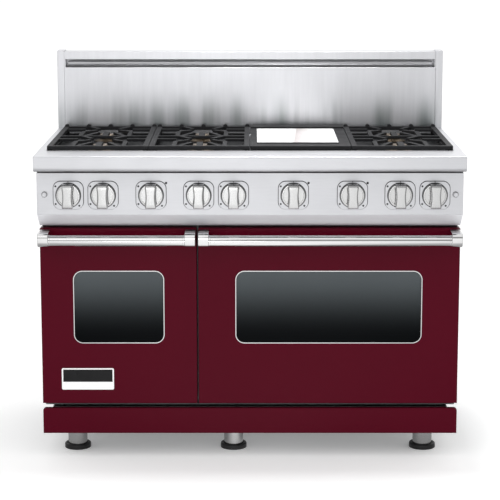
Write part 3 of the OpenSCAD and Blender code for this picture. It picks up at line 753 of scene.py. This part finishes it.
class MakeBezels(RangeOperator):
    """Make the square bezels behind the knobs and the rings round the two buttons"""

    bl_idname = "gas_range.bezels"
    bl_label = "Bezels and rings"

    def execute(self, context):
        size = sizes()
        low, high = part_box("knob_bezels")
        centres = knob_centres()
        first = centres[0]
        half_h = (high.z - low.z) / 2
        half_w = half_h + 2.5 * MM
        bezel = add_block(
            "bezel_plate", (first.x - half_w, low.y, first.z - half_h), (first.x + half_w, high.y, first.z + half_h)
        )
        with editing(bezel):
            bevel_edges(lambda e: spans(e, 1), size.bezel_corner, 10)
            bevel_edges(lambda e: near(middle(e).y, low.y) and not spans(e, 1), 2.4 * MM, 5)
        plates = spread(bezel, [Vector((centre.x, 0, 0)) for centre in centres])
        last_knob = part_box("knob_9")[1].x + 10 * MM
        ring_wall, ring_gap = 2.3 * MM, 0.1 * MM
        for side in DOORS:
            centre = centre_of(f"{side}_button")
            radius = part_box(f"{side}_button")[1].x - centre.x
            ring = add_disc("ring", centre, high.y, low.y, radius + ring_wall, 40)
            subtract(ring, add_disc("hole", centre, high.y + MM, low.y - MM, radius + ring_gap, 40))
            soften(ring, 0.7 * MM)
            plates.append(ring)
        bezels = joined("bezels", plates)
        hand_over(bezels, "root", "stainless", finishes().sheet, "knob_bezels")
        # painted shade on the bezels' top and side edges and round the buttons
        inlay(
            bezels, finishes().shaded,
            lambda f: -0.93 < f.normal.y < 0.5 and (f.normal.z > -0.35 or abs(f.center.x) > last_knob),
        )
        # painted shadow: a black ring round each knob
        self.shadow_rings(centres, low.y)
        self.dial_marks(centres, low.y)
        return {"FINISHED"}

    def shadow_rings(self, centres, face_y):
        """A thin black ring round each knob's skirt: painted shadow in the gap between the skirt and the bezel."""
        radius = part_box("knob_1")[1].x - centres[0].x
        thick, margin, hole = 0.4 * MM, 1.8 * MM, 7 * MM
        shadow_rings = []
        for centre in centres:
            shadow_ring = add_disc("shadow_ring", centre, face_y, face_y - thick, radius + margin, 72)
            subtract(shadow_ring, add_disc("hole", centre, face_y + MM, face_y - thick - MM, hole, 32))
            shadow_rings.append(shadow_ring)
        hand_over(joined("knob_shadow_rings", shadow_rings), "root", "black_plastic", finishes().rubber)

    def dial_marks(self, centres, face_y):
        """Three raised pips and a tick on each bezel."""
        pip_places, pip_radius, sunk = ((-36, 26), (-36, -25), (31, -30)), 2.8 * MM, 0.2 * MM
        marks = []
        for centre in centres:
            for x, z in pip_places:
                place = centre + Vector((x, 0, z)) * MM
                pip = add_disc("pip", place, face_y + sunk, face_y - 0.5 * MM, pip_radius, 24)
                soften(pip, 0.3 * MM)
                marks.append(pip)
            tick = add_block(
                "tick", (centre.x - 0.9 * MM, face_y - 0.4 * MM, centre.z + 37.4 * MM),
                (centre.x + 0.9 * MM, face_y + sunk, centre.z + 40.4 * MM),
            )
            soften(tick, 0.2 * MM)
            marks.append(tick)
        hand_over(joined("dial_marks", marks), "root", "black_plastic", finishes().rubber)


class MakeKnobs(RangeOperator):
    """Make the nine knobs: a round skirt with a waisted grip bar across it"""

    bl_idname = "gas_range.knobs"
    bl_label = "Knobs"

    def grip(self, centre, front, back, half_w, half_h, rounded=True):
        """A bar narrowed in its middle by resizing its cross loops."""
        bar = add_block(
            "grip", (centre.x - half_w, front, centre.z - half_h), (centre.x + half_w, back, centre.z + half_h)
        )
        steps = 10
        with editing(bar):
            for i in range(1, steps):
                z = centre.z - half_h + 2 * half_h * i / steps
                cut_plane((0, 0, z), (0, 0, 1))
            for i in range(steps + 1):
                share = 2 * i / steps - 1
                z = centre.z + share * half_h
                waist = 0.76 + 0.24 * share * share
                waist *= 1 - 0.16 * max(0, abs(share) - 0.75) / 0.25
                pick("VERT", lambda v: near(v.co.z, z))
                bpy.ops.transform.resize(value=(waist, 1, 1), center_override=(centre.x, centre.y, z))
            if rounded:
                pick("VERT", lambda v: near(v.co.y, front) and abs(v.co.z - centre.z) > 0.99 * half_h)
                bpy.ops.transform.translate(value=(0, 1.5 * MM, 0))
                bevel_edges(
                    lambda e: not spans(e, 1) and middle(e).y < front + 2 * MM
                    and sum(f.normal.y < -0.7 for f in e.link_faces) == 1,
                    sizes().grip_edge, 4,
                )
        return bar

    def execute(self, context):
        size = sizes()
        low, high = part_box("knob_1")
        centres = knob_centres()
        centre = centres[0]
        radius = (high.x - low.x) / 2
        skirt_depth, stem_radius = 7.4 * MM, 4.1 * MM
        skirt_front = high.y - skirt_depth
        skirt = add_disc("skirt", centre, high.y, skirt_front, radius, 72)
        with editing(skirt):
            bevel_edges(
                lambda e: near(middle(e).y, skirt_front, 0.1 * MM) and sum(map(faces_front, e.link_faces)) == 1,
                size.skirt_edge, 6,
            )
            pick("FACE", lambda f: f.normal.y < -0.999)
            inset(2.0)
            inset(0.5, -1.0)
        half_w, half_h = 17.5 * MM, radius - 1.5 * MM
        grip = self.grip(centre, low.y, skirt_front + 2 * MM, half_w, half_h)
        # painted shadow: a thin black slab round the grip's foot, for the shade between the grip and the skirt
        shadow_slab = self.grip(
            centre, skirt_front + 0.5 * MM, skirt_front + 1.8 * MM, half_w + 1.5 * MM, half_h - 1.5 * MM, False
        )
        stem = add_disc("stem_hole", centre, high.y + MM, low.y + 8 * MM, stem_radius, 24)
        use_modifier(skirt, "BOOLEAN", operation="UNION", solver="EXACT", object=grip)
        bpy.data.objects.remove(grip)
        subtract(skirt, stem)
        hollow = self.grip(
            centre, skirt_front - MM, skirt_front + 3 * MM, half_w - 3 * MM, half_h - 4 * MM, False
        )
        subtract(shadow_slab, hollow)
        knobs, shadow_slabs = [skirt], [shadow_slab]
        for knob, place in zip(KNOBS[1:], centres[1:]):
            knobs.append(copied(skirt, f"knob_{knob}_turned", (place.x - centre.x, 0, 0)))
            shadow_slabs.append(copied(shadow_slab, f"knob_{knob}_seam", (place.x - centre.x, 0, 0)))
        skirt.name, shadow_slab.name = "knob_1_turned", "knob_1_seam"
        for knob, piece, line in zip(KNOBS, knobs, shadow_slabs):
            hand_over(piece, f"knob_{knob}", "polished_steel", finishes().knob, f"knob_{knob}", smooth=35)
            # painted shadow under each grip
            hand_over(line, f"knob_{knob}", "black_plastic", finishes().rubber)
        return {"FINISHED"}


class MakeButtons(RangeOperator):
    """Make the two push buttons with a shallow dish in their fronts"""

    bl_idname = "gas_range.buttons"
    bl_label = "Push buttons"

    def execute(self, context):
        for side in DOORS:
            low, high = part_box(f"{side}_button")
            centre = centre_of(f"{side}_button")
            button = add_disc(f"{side}_button_cap", centre, high.y, low.y, (high.x - low.x) / 2, 40)
            with editing(button):
                pick("FACE", faces_front)
                inset(1.2)
                inset(1.6, -0.5)
            soften(button, 0.4 * MM)
            hand_over(button, f"{side}_button", "black_plastic", finishes().sheet, f"{side}_button")
        return {"FINISHED"}


class MakeDoors(RangeOperator):
    """Make the enamelled door skins, the window trims and the blank nameplate"""

    bl_idname = "gas_range.doors"
    bl_label = "Doors"

    def skin(self, side):
        size = sizes()
        low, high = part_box(f"{side}_door_skin")
        trim_low, trim_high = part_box(f"{side}_window_trim")
        window_corner = 27 * MM
        skin = add_block(f"{side}_door_front", low, high)
        with editing(skin):
            pick("FACE", faces_back)
            bpy.ops.mesh.delete(type="FACE")
            bevel_edges(lambda e: near(middle(e).y, low.y), size.door_edge, 5)
            bevel_edges(lambda e: spans(e, 1) and sharp(e), size.door_edge, 5)
        use_modifier(skin, "SOLIDIFY", thickness=size.sheet, offset=-1)
        window = add_block("window", (trim_low.x, low.y - MM, trim_low.z), (trim_high.x, low.y + 5 * MM, trim_high.z))
        with editing(window):
            bevel_edges(lambda e: spans(e, 1), window_corner, 12)
        hinge_y = next(joint["pos_m"][1] for joint in frame["joints"] if joint["name"] == f"{side}_door_hinge")
        half_w, from_end, ahead, height = 5.5 * MM, 45 * MM, 11 * MM, 4 * MM
        slots = [
            add_block("slot", (x - half_w, hinge_y - ahead, low.z - MM), (x + half_w, high.y + MM, low.z + height))
            for x in (low.x + from_end, high.x - from_end)
        ]
        subtract(skin, window, *slots)
        hand_over(skin, f"{side}_door", "red_enamel", finishes().enamel, f"{side}_door_skin")

    def nameplate(self):
        low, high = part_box("nameplate")
        split_z, border, face_y = low.z + 0.36 * (high.z - low.z), 4 * MM, low.y + 0.7 * MM
        plate = add_block("blank_nameplate", low, high)
        with editing(plate):
            bevel_edges(lambda e: spans(e, 1), 4 * MM, 5)
            pick("FACE", faces_front)
            inset(3.5)
            inset(0.6, -1.0)
            pick("FACE", lambda f: f.normal.y < -0.99 and near(middle(f).z, (low.z + high.z) / 2, MM))
            cut_plane((0, 0, split_z), (0, 0, 1))
        soften(plate, 0.4 * MM)
        hand_over(plate, "left_door", "polished_steel", finishes().badge, "nameplate")
        left, right, top = low.x + border, high.x - border, high.z - border
        inlay(
            plate, finishes().black,
            lambda f: f.normal.y < -0.99 and f.center.y > face_y
            and left < f.center.x < right and split_z < f.center.z < top,
        )

    def execute(self, context):
        for side in DOORS:
            self.skin(side)
            trim = refined(f"{side}_window_rim", f"{side}_window_trim", 0.7 * MM, 3)
            hand_over(trim, f"{side}_door", "chrome", finishes().bright, f"{side}_window_trim")
        self.nameplate()
        return {"FINISHED"}


class MakeHandles(RangeOperator):
    """Make the bar handles and their rounded brackets"""

    bl_idname = "gas_range.handles"
    bl_label = "Handles"

    def execute(self, context):
        for side in DOORS:
            low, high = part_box(f"{side}_handle_bar")
            ends = low.x, high.x
            centre, radius = (low + high) / 2, (high.z - low.z) / 2
            bar = add_rod(f"{side}_handle", (low.x, centre.y, centre.z), (high.x, centre.y, centre.z), radius, 56)
            collar = 5 * MM
            with editing(bar):
                for x in (low.x + collar, high.x - collar):
                    cut_plane((x, 0, 0), (1, 0, 0))
                half = high.x - centre.x - collar
                pick("FACE", lambda f: abs(f.normal.x) < 0.1 and abs(middle(f).x - centre.x) > half)
                swell(0.6 * MM)
            soften(bar, 0.3 * MM)
            hand_over(bar, f"{side}_door", "polished_steel", finishes().bright, f"{side}_handle_bar")
            low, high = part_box(f"{side}_handle_brackets")
            brackets = []
            for x0, x1 in ((low.x, ends[0]), (ends[1], high.x)):
                bracket = add_block("bracket", (x0, low.y, low.z), (x1, high.y, high.z))
                with editing(bracket):
                    bevel_edges(lambda e: spans(e, 0) and near(middle(e).y, low.y), sizes().bracket_nose, 12)
                soften(bracket, 1.2 * MM, 3)
                brackets.append(bracket)
            pair = joined(f"{side}_brackets", brackets)
            hand_over(pair, f"{side}_door", "polished_steel", finishes().bright, f"{side}_handle_brackets")
        return {"FINISHED"}


class MakeKickPlate(RangeOperator):
    """Make the enamelled kick plate with its two round top corners"""

    bl_idname = "gas_range.kick_plate"
    bl_label = "Kick plate"

    def execute(self, context):
        low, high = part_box("kick_plate")
        plate = add_block("kick_front", low, high)
        with editing(plate):
            bevel_edges(lambda e: spans(e, 1) and near(middle(e).z, high.z), 8 * MM, 8)
            pick("FACE", faces_back)
            bpy.ops.mesh.delete(type="FACE")
            bevel_edges(lambda e: near(middle(e).y, low.y) and not spans(e, 1), 2 * MM, 4)
        use_modifier(plate, "SOLIDIFY", thickness=sizes().sheet, offset=-1)
        hand_over(plate, "root", "red_enamel", finishes().enamel, "kick_plate")
        return {"FINISHED"}


class MakeLegs(RangeOperator):
    """Make the leg sleeves and the levelling feet with their screwed stems"""

    bl_idname = "gas_range.legs"
    bl_label = "Legs and feet"

    pad_radius, pad_height = 39 * MM, 13.6 * MM
    sleeve_radius, bore_radius = 28.5 * MM, 12.4 * MM
    middle_x = -49 * MM

    def leg_places(self):
        low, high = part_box("levelling_feet")
        pad = self.pad_radius
        xs = (low.x + pad, self.middle_x, high.x - pad)
        return [Vector((x, y, 0)) for x in xs for y in (low.y + pad, high.y - pad)]

    def foot(self, place, top):
        """A round pad with a stem whose thread is made of alternate loops drawn in."""
        foot = add_post("foot", place, 0, self.pad_height, self.pad_radius)
        with editing(foot):
            bevel_edges(lambda e: near(middle(e).z, self.pad_height, 0.1 * MM) and sharp(e), 3.5 * MM, 5)
            pick("FACE", lambda f: f.normal.z > 0.999)
            inset(3)
            inset(2, -2.5)
            inset(18.5, 0.5)
            extrude((0, 0, top - self.pad_height + 2 * MM))
        thread_from, pitch, loops = 16 * MM, 2.5 * MM, 60
        heights = [z for z in (thread_from + i * pitch / 2 for i in range(loops)) if z < top - MM]
        with editing(foot):
            for z in heights:
                cut_plane((0, 0, z), (0, 0, 1))
            for z in heights[::2]:
                pick("VERT", lambda v: near(v.co.z, z))
                bpy.ops.transform.resize(value=(0.9, 0.9, 1), center_override=(place.x, place.y, z))
        return foot

    def execute(self, context):
        places = self.leg_places()
        first = places[0]
        feet = spread(self.foot(first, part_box("levelling_feet")[1].z), places)
        hand_over(joined("feet", feet), "levelling_feet", "black_plastic", finishes().rubber, "levelling_feet")
        low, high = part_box("leg_sleeves")
        groove = high.z - 7 * MM
        sleeve = add_post("sleeve", first, low.z, high.z, self.sleeve_radius)
        with editing(sleeve):
            for z in (groove - MM, groove + MM):
                cut_plane((0, 0, z), (0, 0, 1))
            pick("FACE", lambda f: abs(f.normal.z) < 0.1 and near(middle(f).z, groove))
            swell(-1.2 * MM)
        subtract(sleeve, add_post("bore", first, low.z - MM, high.z + MM, self.bore_radius, 48))
        soften(sleeve, 0.8 * MM)
        hand_over(joined("sleeves", spread(sleeve, places)), "root", "chrome", finishes().knob, "leg_sleeves")
        return {"FINISHED"}


class MakeCooktop(RangeOperator):
    """Make the pressed cooktop pan with its rim and recess"""

    bl_idname = "gas_range.cooktop"
    bl_label = "Cooktop pan"

    def execute(self, context):
        size = sizes()
        low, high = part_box("cooktop_pan")
        recess = 20 * MM
        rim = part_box("grate_1")[0].x - low.x - 2 * MM
        front, back = low.y + 7 * MM, high.y - 10 * MM
        pan = add_block("pan_sheet", low, high)
        with editing(pan):
            pick("FACE", faces_down)
            bpy.ops.mesh.delete(type="FACE")
            for place, normal in (
                ((low.x + rim, 0, 0), (1, 0, 0)), ((high.x - rim, 0, 0), (1, 0, 0)),
                ((0, front, 0), (0, 1, 0)), ((0, back, 0), (0, 1, 0)),
            ):
                cut_plane(place, normal)
            pick("FACE", lambda f: f.normal.z > 0.9 and abs(middle(f).x) < 0.1 and front < middle(f).y < back)
            extrude((0, 0, -recess))
            floor = high.z - recess
            bevel_edges(
                lambda e: spans(e, 2) and near(middle(e).z, high.z - recess / 2) and abs(middle(e).x) < high.x - rim / 2
                and front - MM < middle(e).y < back + MM, 9 * MM, 6,
            )
            bevel_edges(lambda e: near(middle(e).z, floor) and sharp(e), 4 * MM, 4)
        use_modifier(pan, "SOLIDIFY", thickness=size.sheet, offset=-1)
        soften(pan, size.edge)
        hand_over(pan, "root", "stainless", finishes().sheet, "cooktop_pan")
        self.trays((low.x + rim, front), (high.x - rim, back), floor)
        return {"FINISHED"}

    def trays(self, low, high, floor):
        """Four shallow enamelled trays that line the recess, each with a rolled rim."""
        gap, margin = 1.5 * MM, 5 * MM
        middles = [centre_of(node).x for node in ("grate_1", "grate_2", "griddle_frame", "grate_3")]
        between = [(a + b) / 2 for a, b in zip(middles, middles[1:])]
        lefts, rights = [low[0] + margin, *between], [*between, high[0] - margin]
        trays = []
        for left, right in zip(lefts, rights):
            tray = add_block(
                "tray", (left + gap, low[1] + margin, floor + 0.1 * MM), (right - gap, high[1] - margin, floor + 6 * MM)
            )
            with editing(tray):
                bevel_edges(lambda e: spans(e, 2), 16 * MM, 8)
                pick("FACE", faces_up)
                inset(2.5)
                extrude((0, 0, -5.2 * MM))
            soften(tray, 1 * MM)
            trays.append(tray)
        hand_over(joined("spill_trays", trays), "root", "oven_enamel", finishes().black)


class MakeBurners(RangeOperator):
    """Make the six sealed burners: ported brass rings under brass caps, each with its spark pin"""

    bl_idname = "gas_range.burners"
    bl_label = "Burners"

    def ring(self, place, low_z, cap_z):
        """A stepped ring with a crown of ports round its side."""
        flange = 3 * MM
        ring = add_post("ring", place, low_z, low_z + flange, 40 * MM)
        up = cap_z - low_z - flange
        with editing(ring):
            pick("FACE", faces_up)
            inset(6)
            inset(7, 0.35 * up / MM)
            inset(2.5)
            extrude((0, 0, 0.65 * up))
            z = low_z + flange + 0.67 * up

            def port(face):
                """Every second face of the upper side."""
                at = middle(face)
                turn = (math.atan2(at.y - place.y, at.x - place.x) + math.pi) / math.tau
                upper = abs(face.normal.z) < 0.1 and near(at.z, z, 0.3 * up) and at.z > low_z + flange + MM
                return upper and round(turn * 64 - 0.5) % 2 == 0

            pick("FACE", port)
            inset(0.35, -1.2, use_individual=True)
        return ring

    def cap(self, place, low_z, high_z, radius):
        cap = add_post("cap", place, low_z, high_z, radius)
        with editing(cap):
            bevel_edges(lambda e: near(middle(e).z, high_z) and sharp(e), 2.5 * MM, 5)
            pick("FACE", lambda f: f.normal.z > 0.999)
            inset(6)
            inset(1.5, -0.6)
        return cap

    def spark_pin(self, place, low_z):
        pin = add_post("pin", place + Vector((0, 31 * MM, 0)), low_z, low_z + 9 * MM, 3 * MM, 20)
        with editing(pin):
            pick("FACE", faces_up)
            inset(2)
            extrude((0, -1 * MM, 4 * MM))
        return pin

    def execute(self, context):
        low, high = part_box("burner_caps")
        radius = 25 * MM
        xs = [low.x + radius] + [centre_of(f"grate_{grate}").x for grate in GRATES[1:]]
        places = [Vector((x, y, 0)) for x in xs for y in (low.y + radius, high.y - radius)]
        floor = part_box("burner_bases")[0].z + 20 * MM  # where the bases come up through the pan
        first, made = places[0], finishes()
        rings = spread(self.ring(first, floor, low.z), places)
        caps = spread(self.cap(first, low.z, high.z, radius), places)
        pins = spread(self.spark_pin(first, floor), places)
        hand_over(joined("burner_rings", rings), "root", "burner_brass", made.brass, "burner_bases")
        hand_over(joined("burner_tops", caps), "root", "burner_brass", made.brass, "burner_caps")
        hand_over(joined("spark_pins", pins), "root", "bright_wire", made.bright)
        return {"FINISHED"}


class MakeGrates(RangeOperator):
    """Make the cast grates and the griddle's frame with softened edges, and the ground plate"""

    bl_idname = "gas_range.grates"
    bl_label = "Grates and griddle"

    def execute(self, context):
        size = sizes()
        iron = finishes().iron
        for number in GRATES:
            grate = refined(f"grate_{number}_cast", f"grate_{number}", size.cast_edge)
            hand_over(grate, f"grate_{number}", "black_iron", iron, f"grate_{number}")
        surround = refined("griddle_surround", "griddle_frame", size.cast_edge)
        hand_over(surround, "root", "black_iron", finishes().surround, "griddle_frame")
        low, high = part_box("griddle_plate")
        plate = add_block("griddle_top", low, high)
        with editing(plate):
            bevel_edges(lambda e: spans(e, 2), 5 * MM, 5)
            pick("FACE", faces_up)
            inset(3)
            inset(1.5, -0.7)
        soften(plate, 0.6 * MM)
        hand_over(plate, "griddle_plate", "polished_steel", finishes().plate, "griddle_plate")
        return {"FINISHED"}


class MakeBackguard(RangeOperator):
    """Make the backguard's panel and its end caps; the rail stays the frame's own"""

    bl_idname = "gas_range.backguard"
    bl_label = "Backguard"

    def execute(self, context):
        for name, node in (("backguard_sheet", "backguard_panel"), ("backguard_caps", "backguard_shell")):
            hand_over(refined(name, node, sizes().edge), "root", "stainless", finishes().back, node)
        return {"FINISHED"}


class MakeRearLouvres(RangeOperator):
    """Make the hooded louvres behind each oven"""

    bl_idname = "gas_range.rear_louvres"
    bl_label = "Rear louvres"

    def louvre(self, x, y, z):
        """A pressed hood, open underneath."""
        half_w, out, tall = 45 * MM, 6 * MM, 13 * MM
        hood = add_block("hood", (x - half_w, y - 0.5 * MM, z), (x + half_w, y + out, z + tall))
        with editing(hood):
            bevel_edges(lambda e: near(middle(e).y, y + out) and middle(e).z > z + MM, 4.5 * MM, 5)
            pick("FACE", faces_down)
            inset(1.1)
            extrude((0, 0, 6 * MM))
        return hood

    def execute(self, context):
        low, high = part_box("rear_panel")
        rows, step, foot = 7, 21 * MM, low.z + 0.62 * (high.z - low.z)
        places = []
        for side, columns in zip(DOORS, (2, 3)):
            door_low, door_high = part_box(f"{side}_door_skin")
            for column in range(columns):
                x = door_low.x + (door_high.x - door_low.x) * (column + 0.5) / columns
                places += [Vector((x, high.y, foot + row * step)) for row in range(rows)]
        louvres = spread(self.louvre(*places[0]), places)
        hand_over(joined("rear_louvres", louvres), "root", "galvanised", finishes().zinc)
        return {"FINISHED"}


class FinishFrame(RangeOperator):
    """Give every frame node that stays in view its finish"""

    bl_idname = "gas_range.frame_finishes"
    bl_label = "Frame finishes"

    def execute(self, context):
        made = finishes()
        by_slot = {
            "stainless": made.sheet, "dark_steel": made.rail, "galvanised": made.zinc,
            "red_enamel": made.enamel, "oven_enamel": made.oven, "bright_wire": made.bright,
            "chrome": made.bright, "polished_steel": made.bright, "window_glass": made.glass,
            "gasket_braid": made.braid, "black_iron": made.iron, "burner_brass": made.brass,
            "black_plastic": made.rubber,
        }
        for part in frame["record"]["subparts"]:
            mesh = frame["nodes"][part["node"]].data
            mesh.materials.clear()
            mesh.materials.append(by_slot[part["material_slot"]])
        return {"FINISHED"}


class SetStage(RangeOperator):
    """Set the floor, the light and the camera"""

    bl_idname = "gas_range.stage"
    bl_label = "Stage"

    flag_shade = (0.28, 0.28, 0.28)

    def flags(self, tree):
        """The studio flags as shiny metal alone meets them: the light path stays out of the group."""
        mask = put_group(tree, finishes().flags, {})
        seen = put(tree, "LightPath").outputs["Is Glossy Ray"]
        return put(tree, "Math", {0: mask.outputs[0], 1: seen}, operation="MULTIPLY").outputs[0]

    def floor(self):
        bpy.ops.object.select_all(action="DESELECT")
        bpy.ops.mesh.primitive_plane_add(size=90, location=(0, 0, 0))
        floor = bpy.context.object
        floor.name = "studio_floor"
        material, tree, surface = finishes().shader("Studio floor", Roughness=0.9, Specular_IOR_Level=0.0)
        surface.inputs["Emission Color"].default_value = (1.0, 1.0, 1.0, 1.0)
        surface.inputs["Emission Strength"].default_value = 0.16
        grit = put(tree, "TexNoise", {"Vector": object_place(tree), "Scale": 2.0})
        pale = shade_between(tree, grit.outputs[0], (0.95, 0.95, 0.95), (0.97, 0.97, 0.97))
        shade = put(tree, "Mix", {0: self.flags(tree), 6: pale, 7: (*self.flag_shade, 1.0)}, data_type="RGBA")
        tree.links.new(shade.outputs[2], surface.inputs["Base Color"])
        floor.data.materials.append(material)

    def world(self):
        world = bpy.data.worlds.new("Studio")
        bpy.context.scene.world = world
        world.use_nodes = True
        tree, sky = world.node_tree, world.node_tree.nodes["Background"]
        shade = shade_between(tree, self.flags(tree), (1.0, 1.0, 1.0), self.flag_shade)
        tree.links.new(shade, sky.inputs["Color"])
        sky.inputs["Strength"].default_value = 1.0

    def lamp(self, name, place, aim, width, height, watts, spread):
        lamp = bpy.data.objects.new(name, bpy.data.lights.new(name, "AREA"))
        bpy.context.scene.collection.objects.link(lamp)
        lamp.data.shape = "RECTANGLE"
        lamp.data.size, lamp.data.size_y = width, height
        lamp.data.energy = watts
        lamp.data.spread = math.radians(spread)
        lamp.visible_camera = False
        lamp.location = place
        lamp.rotation_euler = (Vector(aim) - Vector(place)).to_track_quat("-Z", "Y").to_euler()

    def camera(self):
        """Far back and well above the ledge, looking a little down."""
        camera = bpy.data.objects.new("Camera", bpy.data.cameras.new("Camera"))
        bpy.context.scene.collection.objects.link(camera)
        away, eye_height, look_down = 4.7, 1.56, 9.46
        camera.location = (0.0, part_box("landing_ledge")[0].y - away, eye_height)
        camera.rotation_euler = (math.radians(90 - look_down), 0, 0)
        camera.data.sensor_width = 36
        camera.data.lens = 122.1
        camera.data.shift_y = -0.096
        bpy.context.scene.camera = camera

    def execute(self, context):
        self.floor()
        self.world()
        for name, *light in (
            ("key", (-1.2, -3.6, 3.0), (0, 0, 0.7), 2.2, 1.6, 9, 180),
            ("front", (-0.4, -5.6, 0.8), (0, 0, 0.9), 0.8, 1.2, 8, 180),
            ("rim", (0.0, 2.2, 2.4), (0, 0, 0.9), 3.0, 1.0, 3, 180),
            ("overhead", (0.14, 0.0, 2.7), (0.14, 0.0, 0.9), 0.8, 0.6, 5, 60),
        ):
            self.lamp(name, *light)
        self.camera()
        bpy.context.scene.view_settings.view_transform = "Standard"
        return {"FINISHED"}


OPERATORS = (
    SetStage, FinishFrame, MakeLedge, MakeControlPanel, MakeBezels, MakeKnobs, MakeButtons, MakeDoors,
    MakeHandles, MakeKickPlate, MakeLegs, MakeCooktop, MakeBurners, MakeGrates, MakeBackguard,
    MakeRearLouvres,
)


class RangePanel(Panel):
    """Lists the range's operators, sizes and colours"""

    bl_idname = "VIEW3D_PT_gas_range"
    bl_label = "Gas range"
    bl_space_type = "VIEW_3D"
    bl_region_type = "UI"
    bl_category = "Gas range"

    def draw(self, context):
        for operator in OPERATORS:
            self.layout.operator(operator.bl_idname)
        for group in (context.scene.gas_range_sizes, context.scene.gas_range_colours):
            for name in group.__annotations__:
                self.layout.prop(group, name)


CLASSES = (RangeSizes, RangeColours, *OPERATORS, RangePanel)


def register():
    for cls in CLASSES:
        bpy.utils.register_class(cls)
    bpy.types.Scene.gas_range_sizes = PointerProperty(type=RangeSizes)
    bpy.types.Scene.gas_range_colours = PointerProperty(type=RangeColours)


def unregister():
    del bpy.types.Scene.gas_range_colours
    del bpy.types.Scene.gas_range_sizes
    for cls in reversed(CLASSES):
        bpy.utils.unregister_class(cls)


def main():
    register()
    for operator in OPERATORS:
        category, name = operator.bl_idname.split(".")
        getattr(getattr(bpy.ops, category), name)()


if __name__ == "__main__":
    main()
